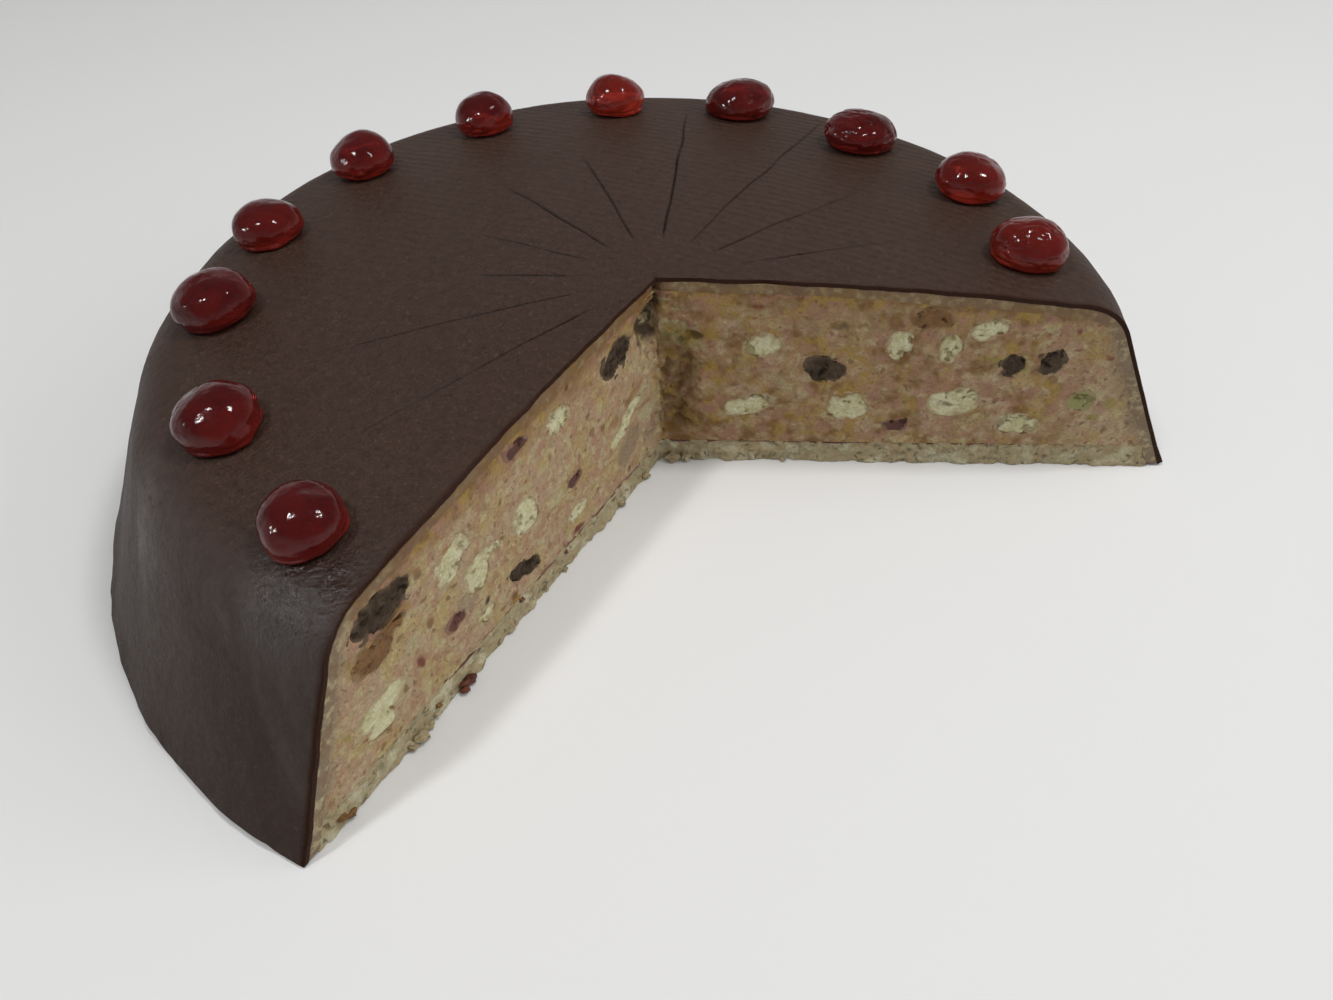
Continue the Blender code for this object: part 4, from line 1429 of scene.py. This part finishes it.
@dataclass
class Filling(Layer):
    """The punch filling, its cut faces dented where pieces sit in it and stained round them."""

    inset: float = 3.9
    foot: float = 6.2
    floor: float = 6.75
    rows: tuple[int, ...] = (236, 26, 76)
    levels: int = 96
    spots: tuple[Spot, ...] = SPOTS

    def build(self) -> bpy.types.Object:
        """Between the skin's inside and a flat floor; lines across the cut fan out from the one to the other."""
        angles, rows = self.angles(), profile_rows(*self.rows)
        outer = self.form.skin(angles, rows, self.inset, self.foot)
        share = np.interp(rows, [0, 1, 2, 3], [0, 0.83, 0.91, 1.0])
        foot = self.face.along(outer[:, -1])
        inner = self.form.ray(angles[:, None], share[None, :] * foot[:, None], np.full((1, len(rows)), self.floor))
        outer[:, -1, 2] = self.floor + 0.02
        solid, place = wedge_solid(outer, inner, np.linspace(0, 1, self.levels), self.every)
        self.finish_cuts(solid, place, len(angles))
        return Piece.make("punch_filling_body", solid, FILLING, "filling", ("punch_filling",))

    def relief(self, points: Array, cut: Cut) -> Array:
        """Crumb and small pits, and a dent behind each piece in the filling.

        Args:
            points: points on the flat cut.
            cut: which cut.

        Returns:
            Depth in mm.
        """
        fine = 0.17 * crumb_noise(points, 3.0, 5, 51) + 0.55 * pores(points, 2.2, 0.14, 52)
        broken = self.face.cavity(points) if cut is Cut.LEFT else self.face.recess(points)
        corner = np.exp(-((self.face.along(points) / 7) ** 2)) * smooth(8, 14, points[..., 2])
        broken = np.maximum(broken, 0.8 * corner)
        torn = (0.9 * crumb_noise(points, 3.2, 4, 55) + 1.1 * crumb_noise(points, 1.5, 3, 56)) * broken
        if cut is Cut.LEFT:
            near = np.exp(-((self.face.along(points) / 2.2) ** 2)) * smooth(46, 40, points[..., 2])
            torn += near * (0.9 * crumb_noise(points, 2.6, 3, 57) - 0.3)
        dent = np.zeros(points.shape[:-1])
        for index, chunk in enumerate(CHUNKS):
            if chunk.cut is cut:
                dent = np.maximum(dent, smooth(1.03, 0.92, ChunkShape(chunk, index).share(self.face, points)))
        return fine + torn + 1.5 * dent

    def set_values(self, solid: Solid, place: Array, columns: int) -> None:
        """One mask for each tint: the spots, soak and painted shade, the torn places and the smears round the
        chunks.

        Args:
            solid: the mesh.
            place: each point's column, row and level number.
            columns: number of columns.
        """
        column, points = place[:, 0], solid.points
        right, left = (column == 0) | (place[:, 1] == 0), (column == columns - 1) & (place[:, 1] > 0)
        sides = {Cut.LEFT: left, Cut.RIGHT: right}
        ragged, fine = crumb_noise(points, 3.5, 3, 61), crumb_noise(points, 1.6, 3, 66)
        for tint in Tint:
            solid.values[tint.value] = np.zeros(len(points))
        for spot in self.spots:
            self.deepen(solid, spot.tint, self.spot_mask(spot, points, ragged) * sides[spot.cut])
        self.soak(solid, sides, ragged, fine)
        self.tear(solid, sides, ragged, fine)
        self.smear(solid, sides, ragged, fine)

    def spot_mask(self, spot: Spot, points: Array, ragged: Array) -> Array:
        """A soft ellipse on the flat cut, its rim strayed by noise.

        Args:
            spot: the stain.
            points: the mesh's points.
            ragged: noise at the points.

        Returns:
            0 to the spot's strength, by point.
        """
        turn = math.radians(spot.tilt)
        x, z = self.face.along(points) - spot.along, points[:, 2] - spot.up
        a = (x * math.cos(turn) + z * math.sin(turn)) / (spot.long / 2)
        b = (z * math.cos(turn) - x * math.sin(turn)) / (spot.tall / 2)
        return spot.strength * smooth(1.25, 0.6, np.hypot(a, b) * (1 + 0.35 * ragged))

    def soak(self, solid: Solid, sides: dict[Cut, Array], ragged: Array, fine: Array) -> None:
        """Syrup soaked in under the coat; in clouds over the right cut and in its recess, a brown of soak and
        painted shade.

        Args:
            solid: the mesh whose values are set.
            sides: which points belong to each cut.
            ragged: noise of 3.5 mm at the points.
            fine: noise of 1.6 mm at the points.
        """
        points, right = solid.points, sides[Cut.RIGHT]
        along, under = self.face.along(points), self.form.dome_height(points) - points[:, 2]
        soak = smooth(12, 5, under + 3.0 * crumb_noise(points, 9, 3, 62)) * smooth(118, 96, along)
        band = smooth(6.6, 4.0, under + 1.2 * ragged) * smooth(116, 104, along)
        # The recess browned: partly soaked crumb, partly painted shade in the recess.
        recess = smooth(0.1, 0.8, self.face.recess(points)) * (0.42 + 0.45 * fine + 0.25 * ragged)
        # Brown over the right cut: partly soaked crumb, partly painted shade of the lifted slice, which is not
        # built.
        soak_and_slice_shade = 0.3 + 0.34 * smooth(-0.7, 0.8, crumb_noise(points, 11, 4, 67))
        soak_and_slice_shade = (soak_and_slice_shade + 0.85 * crumb_noise(points, 2.6, 4, 69)).clip(0, 1) * smooth(120, 90, along) * right
        soaked = np.maximum(0.62 * soak, soak_and_slice_shade) + 0.3 * band + soak * (0.2 * fine + 0.15 * ragged)
        self.deepen(solid, Tint.SOAKED, np.maximum(soaked, recess * right) * (right | sides[Cut.LEFT]))
        red = 0.5 * smooth(0.25, 0.7, crumb_noise(points, 2.4, 3, 68))
        self.deepen(solid, Tint.BERRY, red * recess * right)
        tan = smooth(7.5, 3.5, self.form.from_wall(points) + 1.2 * ragged) * (under > 6)
        self.deepen(solid, Tint.PASTE, 0.8 * tan)

    def tear(self, solid: Solid, sides: dict[Cut, Array], ragged: Array, fine: Array) -> None:
        """The hollow, the slit and the torn corner by the apex: painted shade in the first two, pale crumbs in all.

        Args:
            solid: the mesh whose values are set.
            sides: which points belong to each cut.
            ragged: noise of 3.5 mm at the points.
            fine: noise of 1.6 mm at the points.
        """
        points, left, right = solid.points, sides[Cut.LEFT], sides[Cut.RIGHT]
        along, up = self.face.along(points), points[:, 2]
        cavity = smooth(0.3, 0.62, self.face.cavity(points) + 0.16 * ragged) * left
        cavity = np.maximum(cavity, smooth(1.6, 0.5, along) * smooth(46, 49, up) * (left | right))
        crumbs = smooth(0.22, 0.4, fine)
        torn = smooth(9.5, 7, along + ragged) * smooth(43, 45, up) * right
        # Painted shade in the hollow and the slit.
        self.deepen(solid, Tint.DARK, 0.95 * cavity * (1 - crumbs))
        self.deepen(solid, Tint.PALE, np.maximum(0.75 * cavity, 0.9 * torn) * crumbs)

    def smear(self, solid: Solid, sides: dict[Cut, Array], ragged: Array, fine: Array) -> None:
        """The knife's smears of each chunk's own tone just outside its rim.

        Args:
            solid: the mesh whose values are set.
            sides: which points belong to each cut.
            ragged: noise of 3.5 mm at the points.
            fine: noise of 1.6 mm at the points.
        """
        points = solid.points
        along, up = self.face.along(points), points[:, 2]
        for index, chunk in enumerate(CHUNKS):
            if chunk.kind in SMEARS:
                tint, strength = SMEARS[chunk.kind]
                near = sides[chunk.cut] & (np.hypot(along - chunk.along, up - chunk.up) < 16)
                share = ChunkShape(chunk, index).share(self.face, points[near])
                mask = np.zeros(len(points))
                mask[near] = smooth(1.45, 1.0, share) * smooth(0.0, 0.5, fine[near] + 0.4 * ragged[near])
                self.deepen(solid, tint, strength * mask)

    @staticmethod
    def deepen(solid: Solid, tint: Tint, mask: Array) -> None:
        """Takes the stronger of a tint's values and a mask."""
        solid.values[tint.value] = np.maximum(solid.values[tint.value], mask)


@dataclass
class Jam(Layer):
    """The thin line of jam over the sponge, thick and thin by turns."""

    middle: float = 6.6
    radius: float = 112.0
    rows: tuple[int, ...] = (260,)
    levels: int = 6
    every: tuple[int, int] = (3, 10)

    def build(self) -> bpy.types.Object:
        """A disc whose thickness follows noise, a little proud of the cut."""
        angles, rows = self.angles(), np.linspace(0, 1, *self.rows)
        reach = self.form.reach(angles, np.array(self.radius))
        flat = self.form.ray(angles[:, None], rows[None, :] * reach[:, None], np.full((1, len(rows)), self.middle))
        half = 0.12 + 0.4 * crumb_noise(flat, 6, 4, 71)
        half = np.clip(half, 0.02, 0.8) * (1 - 0.95 * rows[None, :] ** 12)
        sway = 0.4 * crumb_noise(flat, 11, 4, 72)
        outer, inner = flat.copy(), flat.copy()
        outer[..., 2] += sway + half
        inner[..., 2] += sway - half
        solid, place = wedge_solid(outer, inner, np.linspace(0, 1, self.levels), self.every)
        self.finish_cuts(solid, place, len(angles))
        return Piece.make("jam_line", solid, JAM, "jam", ("jam_layer",))

    def relief(self, points: Array, cut: Cut) -> Array:
        """Swells out of the cut a little."""
        return 0.1 + 0.25 * crumb_noise(points, 2.6, 3, 73)


@dataclass
class Sponge(Layer):
    """The sponge base, crumbly and open on the cuts, ragged along the table."""

    inset: float = 3.9
    top: float = 6.8
    rows: tuple[int, ...] = (300,)
    levels: int = 17

    def build(self) -> bpy.types.Object:
        """A flat layer with a sloping rim."""
        angles, rows = self.angles(), np.linspace(0, 1, *self.rows)
        surfaces = []
        for height in (self.top, 0.0):
            reach = self.form.reach(angles, np.array(self.form.wall_radius(height, self.inset)))
            flat = np.full((1, len(rows)), height)
            surfaces.append(self.form.ray(angles[:, None], rows[None, :] * reach[:, None], flat))
        solid, place = wedge_solid(*surfaces, np.linspace(0, 1, self.levels), self.every)
        self.finish_cuts(solid, place, len(angles))
        return Piece.make("sponge_base_body", solid, SPONGE, "sponge", ("sponge_base",))

    def relief(self, points: Array, cut: Cut) -> Array:
        """Lumps, open pores and a broken lower edge."""
        low = smooth(2.0, 0.0, points[..., 2])
        lumps = 0.5 * crumb_noise(points, 3.6, 5, 81) + 0.9 * pores(points, 1.8, 0.35, 82)
        return lumps + 0.1 - low * 0.7 * np.abs(crumb_noise(points * np.array([1, 1, 0.4]), 3.4, 4, 83))

    def set_values(self, solid: Solid, place: Array, columns: int) -> None:
        """Tanned in places."""
        solid.values["edge"] = (0.25 + 0.9 * crumb_noise(solid.points, 7, 3, 84)).clip(0, 1)


# --- Pieces in the filling ---


@dataclass(frozen=True)
class ChunkShape:
    """The outline and surface of one piece in the filling."""

    chunk: Chunk
    index: int
    rings: int = 26
    segments: int = 84
    depth: float = 3.4
    shallow: float = 1.6
    back_rings: int = 4
    spread: float = 1.4
    sunk: float = 0.05
    rough: float = 0.26
    apart: float = 53.0
    cube: float = 2.6
    ball: float = 2.0

    def share(self, face: CutFace, points: Array) -> Array:
        """How far out in the piece points of its face lie: 0 in its middle, 1 on its rim.

        The places are first strayed by noise of three sizes, so the rim is ragged, then measured in the piece's own
        directions with the exponent of a rounded box.

        Args:
            face: the cut faces.
            points: points on the flat cut.

        Returns:
            1 on the rim, less inside, more outside.
        """
        chunk = self.chunk
        size = min(chunk.long, chunk.tall)
        own = points + self.apart * self.index
        x, z = face.along(points) - chunk.along, points[..., 2] - chunk.up
        for reach, grain, seed in ((size * 0.17, size * 0.55, 91), (0.5, 1.9, 93), (0.3, 0.9, 95)):
            x = x + reach * soft_noise(own, grain, seed)
            z = z + reach * soft_noise(own, grain, seed + 1)
        power = self.cube if chunk.kind in ("pale_chunk", "dark_chunk") else self.ball
        nearest = np.full(x.shape, np.inf)
        for away, above, long, tall, tilt in chunk.lobes or ((0, 0, chunk.long, chunk.tall, chunk.tilt),):
            turn = math.radians(tilt)
            a = np.abs((x - away) * math.cos(turn) + (z - above) * math.sin(turn)) / (long / 2)
            b = np.abs((z - above) * math.cos(turn) - (x - away) * math.sin(turn)) / (tall / 2)
            nearest = np.minimum(nearest, (a**power + b**power) ** (1 / power))
        return nearest

    def build(self, face: CutFace) -> Solid:
        """A lens in the face: its front follows the cut with its own crumb, its back is a plain bowl.

        Rings go from the back's middle out to the rim and in over the front. The rim lies out of sight beyond the
        ragged outline, which the dent in the filling cuts. Each point is its ring's share of an ellipse, and its
        depth a bowl behind and a shallow crumbly crown in front.

        Args:
            face: the cut faces.

        Returns:
            The mesh.
        """
        back = np.linspace(0.25, 1.0, self.back_rings + 1)[:-1] * self.spread
        front = np.linspace(self.spread, 0.0, self.rings + 1)[:-1]
        ring = np.concatenate([back, front])
        turn = np.linspace(0, 2 * math.pi, self.segments, endpoint=False)
        if self.chunk.cut is Cut.LEFT:
            turn = -turn
        a, b = ring[:, None] * np.cos(turn), ring[:, None] * np.sin(turn)
        a, b = np.append(a.ravel(), [0.0, 0.0]), np.append(b.ravel(), [0.0, 0.0])
        tilt = math.radians(self.chunk.tilt)
        x, z = a * self.chunk.long / 2, b * self.chunk.tall / 2
        along = self.chunk.along + x * math.cos(tilt) - z * math.sin(tilt)
        up = self.chunk.up + x * math.sin(tilt) + z * math.cos(tilt)
        ring_share = np.append(np.repeat(ring, self.segments), [0.0, 0.0])
        behind = np.append(np.repeat(np.arange(len(ring)) < len(back), self.segments), [True, False])
        flat = face.plane(self.chunk.cut, along, up)
        lumps = crumb_noise(flat, 2.2, 4, 97)
        if self.chunk.kind == "dark_chunk":
            lumps = 2.4 * (0.45 - np.abs(crumb_noise(flat * np.array([1, 1, 0.7]), 2.4, 3, 99)))
        open_pores = smooth(0.25, 0.6, crumb_noise(flat, 2.0, 4, 98))
        surface = self.sunk + self.rough * (lumps + 2.2 * open_pores) + 0.5 * smooth(1.15, self.spread, ring_share)
        bowl = np.sqrt(np.clip(1 - (ring_share / self.spread) ** 2, 0, 1))
        bowl = self.shallow + (self.depth - self.shallow) * bowl
        depth = face.bite(flat, self.chunk.cut) + np.where(behind, np.maximum(bowl, surface + 0.05), surface)
        points = flat + face.into(flat, self.chunk.cut) * depth[:, None]
        rings = points[:-2].reshape(len(ring), self.segments, 3)
        solid = round_solid(rings, points[-2], points[-1])
        share = self.share(face, flat)
        own = flat + self.apart * self.index
        sides = smooth(-0.25, 0.5, crumb_noise(own, 7.0, 2, 104))
        solid.values["edge"] = smooth(0.45, 0.95, share) * sides
        solid.values["rim"] = smooth(0.84, 1.04, share + 0.12 * crumb_noise(own, 1.2, 2, 105))
        # The open pores, which the finish darkens as painted shade.
        solid.values["pit"] = open_pores
        return solid


@dataclass
class Chunks:
    """All pieces of one kind in the filling, as one mesh."""

    kind: str
    face: CutFace = CutFace()

    def build(self) -> bpy.types.Object:
        """Joins the lenses of this kind and lets them stand for its nodes."""
        solids = [ChunkShape(chunk, i).build(self.face) for i, chunk in enumerate(CHUNKS) if chunk.kind == self.kind]
        nodes = tuple(f"{self.kind}_{i + 1:02d}" for i in range(len(solids)))
        return Piece.make(f"{self.kind}s", reduce(Solid.joined, solids), CHUNK_FINISHES[self.kind], self.kind, nodes)


# --- Loose crumbs ---


@dataclass(frozen=True)
class Crumbs:
    """Crumbs of one kind: small ragged balls, each by its place from the apex, its size and its height over a face.

    Attributes:
        name: of the piece.
        finish: its material.
        slot: a slot name that Piece.make takes and does not use.
        places: for each crumb the cut, its distance along the cut, its distance out from the cut's plane, the height
            of its underside, and its width.
    """

    name: str
    finish: Finish
    slot: str
    places: tuple[tuple[Cut, float, float, float, float], ...]
    face: CutFace = CutFace()
    flat: float = 0.62
    rough: float = 0.55
    rings: int = 10
    segments: int = 18

    def build(self) -> bpy.types.Object:
        """All crumbs as one mesh."""
        solids = [self.crumb(index, *place) for index, place in enumerate(self.places)]
        return Piece.make(self.name, reduce(Solid.joined, solids), self.finish, self.slot, ())

    def crumb(self, index: int, cut: Cut, along: float, out: float, low: float, width: float) -> Solid:
        """A small flattened ball whose radius takes noise over its own directions.

        Args:
            index: from 0; each has its own noise.
            cut: the face that it fell from.
            along: distance along the cut.
            out: distance out from the cut's plane.
            low: height of its underside.
            width: of the ball before its noise.

        Returns:
            The mesh.
        """
        foot = self.face.plane(cut, np.array(along), np.array(0.0))
        foot = foot - self.face.into(foot, cut) * out
        ball = unit_ball(self.rings, self.segments, start=index)
        ball = ball * (1 + self.rough * crumb_noise(ball + 5.1 * index, 0.8, 3, 111))[:, None]
        stretch = np.array([1.0, 0.6 + 0.4 * math.sin(2.3 * index) ** 2, self.flat])
        points = ball * stretch * width / 2
        points[:, 2] += low - points[:, 2].min()
        points = points + foot * np.array([1, 1, 0])
        solid = round_solid(points[:-2].reshape(self.rings, self.segments, 3), points[-2], points[-1])
        solid.values["edge"] = (0.5 + 0.5 * crumb_noise(points, 2, 2, 112)).clip(0, 1)
        return solid


TABLE_CRUMBS = (
    Crumbs("sponge_crumbs", SPONGE, "sponge", (
        (Cut.LEFT, 100.5, 0.5, 0, 3.0), (Cut.LEFT, 103.5, 0.9, 0, 3.6), (Cut.LEFT, 106.0, 0.4, 0, 2.6),
        (Cut.LEFT, 97.2, 0.1, 0.4, 2.2), (Cut.LEFT, 70.0, 0.1, 0, 1.9), (Cut.LEFT, 47.5, 0.2, 0, 1.7),
        (Cut.LEFT, 21.0, 0.3, 0, 2.0), (Cut.LEFT, 9.0, 0.4, 0, 2.6), (Cut.RIGHT, 3.0, 0.9, 0, 3.8),
        (Cut.RIGHT, 6.4, 0.4, 0, 2.6), (Cut.RIGHT, 33.0, 0.2, 0, 1.6), (Cut.RIGHT, 84.0, 0.1, 0, 1.8),
    )),
    Crumbs("orange_crumbs", CHUNK_FINISHES["soaked_chunk"], "soaked_chunk", (
        (Cut.LEFT, 125.0, 0.3, 0.3, 3.0), (Cut.LEFT, 126.8, 0.2, 1.8, 2.2), (Cut.LEFT, 96.0, 0.1, 2.6, 1.8),
    )),
    Crumbs("jam_crumbs", JAM, "jam", (
        (Cut.LEFT, 86.5, 0.9, 0, 3.6), (Cut.LEFT, 88.8, 1.3, 0, 2.2), (Cut.LEFT, 64.5, -0.1, 5.6, 1.8),
        (Cut.LEFT, 46, -0.1, 4.4, 1.5),
    )),
)


# --- Cherries ---


@dataclass(frozen=True)
class CherryPlace:
    """Where a cherry sits, from the apex, how large it is, how wrinkled, and how strong its painted glow of light
    is.
    """

    distance: float
    angle: float
    width: float
    crown: float
    dimple: float
    wrinkle: float = 0.15
    bright: float = 0.3


@dataclass
class Cherries:
    """The ring of glace cherries, squashed and lumpy balls with dimples, square to the coat."""

    form: CakeForm = CakeForm()
    places: tuple[CherryPlace, ...] = (
        CherryPlace(101.4, 200.6, 17.6, 6.0, 0.5, 0.1, 0.25),
        CherryPlace(102.4, 178.4, 18.8, 6.8, 0.4, 0.1, 0.1),
        CherryPlace(104.9, 153.0, 19.5, 7.2, 0.3, 0.1, 0.1),
        CherryPlace(106.9, 133.7, 17.7, 6.4, 0.4, 0.1, 0.35),
        CherryPlace(109.4, 112.1, 19.0, 7.2, 0.5, 0.2, 0.35),
        CherryPlace(107.2, 90.6, 17.3, 7.3, 0.3, 0.2, 0.4),
        CherryPlace(105.4, 68.5, 17.9, 7.5, 0.4, 0.3, 0.95),
        CherryPlace(104.6, 47.6, 20.8, 7.1, 0.6, 0.6, 0.15),
        CherryPlace(97.4, 24.3, 20.6, 6.2, 0.8, 1.0, 0.1),
        CherryPlace(98.1, 1.6, 19.0, 7.0, 0.5, 0.4, 0.75),
        CherryPlace(93.2, -19.7, 18.7, 6.9, 0.7, 0.7, 0.85),
    )
    rise: float = 3.5
    fullness: float = 2.6
    lump: float = 0.07
    skirt: float = 1.7
    skirt_height: float = 2.0
    dent: tuple[float, float, float] = (0.35, -0.3, 0.85)
    sunk: float = 0.25
    turn: float = 2.4
    rings: int = 54
    segments: int = 84

    def build(self) -> list[bpy.types.Object]:
        """One piece for each cherry."""
        return [self.cherry(index, place) for index, place in enumerate(self.places, start=1)]

    def cherry(self, index: int, place: CherryPlace) -> bpy.types.Object:
        """A squashed ball with lumps, wrinkles, a dimple and a flat underside, leaning with the dome.

        The upper half is round and the lower half a fuller superellipse. The radius takes noise over its own
        directions and loses a bell at the dimple and a crease where a second noise crosses zero. Points under the
        coat are held on it, and there a skirt of syrup widens the ball on one side.

        Args:
            index: from 1.
            place: where and how large.

        Returns:
            The piece.
        """
        ball = unit_ball(self.rings, self.segments, fullness=self.fullness)
        own = ball + np.array([0, 7.3 * index, 0])
        points = ball * np.array([place.width / 2, place.width / 2, 1.0]) * self.swell(place, ball, own)[:, None]
        points[:, 2] *= np.where(ball[:, 2] < 0, self.rise + 0.35, place.crown)
        floor = 0.1 - self.rise
        side = np.clip(0.6 + 0.9 * crumb_noise(own * np.array([1, 1, 0]), 0.7, 3, 108), 0.25, 1)
        skirt = self.skirt * side * smooth(floor + self.skirt_height, floor, points[:, 2])
        skirt = skirt * smooth(0.3, 0.7, np.hypot(ball[:, 0], ball[:, 1]))
        points[:, :2] *= 1 + (skirt / (place.width / 2))[:, None]
        points[:, 2] = np.maximum(points[:, 2], floor)
        foot = self.form.ray(np.array(math.radians(place.angle)), np.array(place.distance), np.array(0.0))
        foot[2] = self.form.dome_height(foot)
        lean = foot + np.array([0, 0, self.form.dome_radius - self.form.height])
        lean = Vector(lean / np.linalg.norm(lean))
        turned = np.array(lean.to_track_quat("Z", "Y").to_matrix() @ Matrix.Rotation(index * self.turn, 3, "Z"))
        points = points @ turned.T + foot + np.array(lean) * (self.rise - self.sunk)
        solid = round_solid(points[:-2].reshape(self.rings, self.segments, 3), points[-2], points[-1])
        # Where the painted glow of light through the cherry lies: low down, and all over on bright cherries.
        low = smooth(0.75, -0.5, ball[:, 2] + 0.3 * crumb_noise(own, 0.9, 2, 109))
        solid.values["light"] = np.full(len(points), place.bright)
        solid.values["low"] = np.maximum(low, 0.4 * place.bright**2)
        return Piece.make(f"glace_cherry_{index:02d}", solid, CHERRY, "cherry", (f"cherry_{index:02d}",))

    def swell(self, place: CherryPlace, ball: Array, own: Array) -> Array:
        """Each point's share of the ball's radius: lumps, less a bell at the dimple and the creases.

        Args:
            place: the cherry's size, dimple and wrinkles.
            ball: directions from its middle.
            own: the same, moved so that each cherry has its own noise.

        Returns:
            About 1, by point.
        """
        dent = np.array(self.dent) / np.linalg.norm(self.dent)
        swell = 1 + self.lump * crumb_noise(own, 1.1, 2, 101) + 0.012 * crumb_noise(own, 0.35, 2, 107)
        swell -= place.dimple / place.crown * np.exp(-((np.linalg.norm(ball - dent, axis=1) / 0.45) ** 2))
        crease = np.exp(-((crumb_noise(own * np.array([1, 1.8, 1]), 0.7, 3, 106) / 0.13) ** 2))
        return swell - 0.05 * place.wrinkle * crease * smooth(-0.3, 0.3, ball[:, 2])


# --- Table, light and camera ---


@dataclass(frozen=True)
class Lamp:
    """A soft rectangular lamp that looks at a target; reflections or plain light may leave it out."""

    name: str
    place: Colour
    target: Colour
    size: tuple[float, float]
    power: float
    glossy: bool = True
    diffuse: bool = True

    def build(self) -> None:
        """Hangs the lamp."""
        light = bpy.data.lights.new(self.name, "AREA")
        light.shape = "RECTANGLE"
        light.size, light.size_y = self.size
        light.energy = self.power
        lamp = bpy.data.objects.new(self.name, light)
        lamp.location = self.place
        lamp.visible_glossy = lamp.visible_transmission = self.glossy
        lamp.visible_diffuse = self.diffuse
        lamp.rotation_euler = (Vector(self.target) - Vector(self.place)).to_track_quat("-Z", "Y").to_euler()
        bpy.context.scene.collection.objects.link(lamp)


LAMPS = (
    Lamp("ceiling_left", (-0.62, -0.02, 1.3), (0, 0, 0.03), (0.13, 0.18), 5.6),
    Lamp("ceiling_right", (0.56, -0.26, 1.3), (0, 0, 0.03), (0.13, 0.18), 5.0),
    Lamp("soft_top", (0.1, -0.25, 0.95), (0.1, -0.25, 0), (0.9, 0.9), 3.05, glossy=False),
    Lamp("window_left", (-1.2, 0.2, 0.6), (-0.1, -0.05, 0.04), (0.13, 0.16), 3.6, diffuse=False),
    Lamp("soft_right", (1.4, -0.9, 0.9), (0, 0, 0.03), (1.4, 1.4), 11.0, glossy=False),
)


@dataclass
class Studio:
    """A pale floor, soft light and the camera."""

    camera_place: Vector = field(default_factory=lambda: Vector((-98.83, -205.10, 196.79)) * MM)
    forward: Vector = field(default_factory=lambda: Vector((0.33185, 0.63943, -0.69355)))
    right: Vector = field(default_factory=lambda: Vector((0.87768, -0.47878, -0.02146)))
    lens: float = 29.11
    floor_colour: Colour = (0.74, 0.74, 0.735)
    floor_half: float = 3.0
    floor_height: float = -0.0002
    horizon: float = 0.6
    zenith: float = 0.16

    def floor(self) -> None:
        """A flat floor just under the cake."""
        half, low = self.floor_half, self.floor_height
        mesh = bpy.data.meshes.new("floor")
        corners = [(-half, -half, low), (half, -half, low), (half, half, low), (-half, half, low)]
        mesh.from_pydata(corners, [], [(0, 1, 2, 3)])
        material = bpy.data.materials.new("pale_floor")
        material.use_nodes = True
        shader = material.node_tree.nodes["Principled BSDF"]
        shader.inputs["Base Color"].default_value = (*self.floor_colour, 1)
        shader.inputs["Roughness"].default_value = 0.8
        mesh.materials.append(material)
        floor = bpy.data.objects.new("floor", mesh)
        bpy.context.scene.collection.objects.link(floor)

    def camera(self) -> None:
        """The camera from its place, view direction and right-hand direction."""
        data = bpy.data.cameras.new("camera")
        data.lens = self.lens
        data.sensor_width = 36.0
        data.sensor_fit = "HORIZONTAL"
        data.clip_start, data.clip_end = 0.01, 20.0
        forward = self.forward.normalized()
        up = self.right.cross(forward).normalized()
        right = forward.cross(up)
        turn = Matrix((right, up, -forward)).transposed()
        camera = bpy.data.objects.new("camera", data)
        camera.matrix_world = Matrix.Translation(self.camera_place) @ turn.to_4x4()
        bpy.context.scene.collection.objects.link(camera)
        bpy.context.scene.camera = camera

    def build(self) -> None:
        """Everything round the cake."""
        scene = bpy.context.scene
        scene.view_settings.view_transform = "Standard"
        world = bpy.data.worlds.new("soft_room")
        world.use_nodes = True
        sky = Graph(world.node_tree)
        height = sky.add("SeparateXYZ", {0: sky.add("TexCoord").outputs["Generated"]}).outputs["Z"]
        background = world.node_tree.nodes["Background"]
        background.inputs["Color"].default_value = (1.0, 0.99, 0.985, 1)
        sky.feed(background.inputs["Strength"], sky.ramp(height, 0.0, 0.55, self.horizon, self.zenith))
        scene.world = world
        self.floor()
        for lamp in LAMPS:
            lamp.build()
        self.camera()


def main() -> None:
    """Builds the cake and its studio."""
    logging.basicConfig(level=logging.INFO, format="%(message)s")
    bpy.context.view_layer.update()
    Studio().build()
    Coat().build()
    Marzipan().build()
    Filling().build()
    Jam().build()
    Sponge().build()
    for kind in CHUNK_FINISHES:
        Chunks(kind).build()
    for crumbs in TABLE_CRUMBS:
        crumbs.build()
    Cherries().build()


if __name__ == "__main__":
    main()
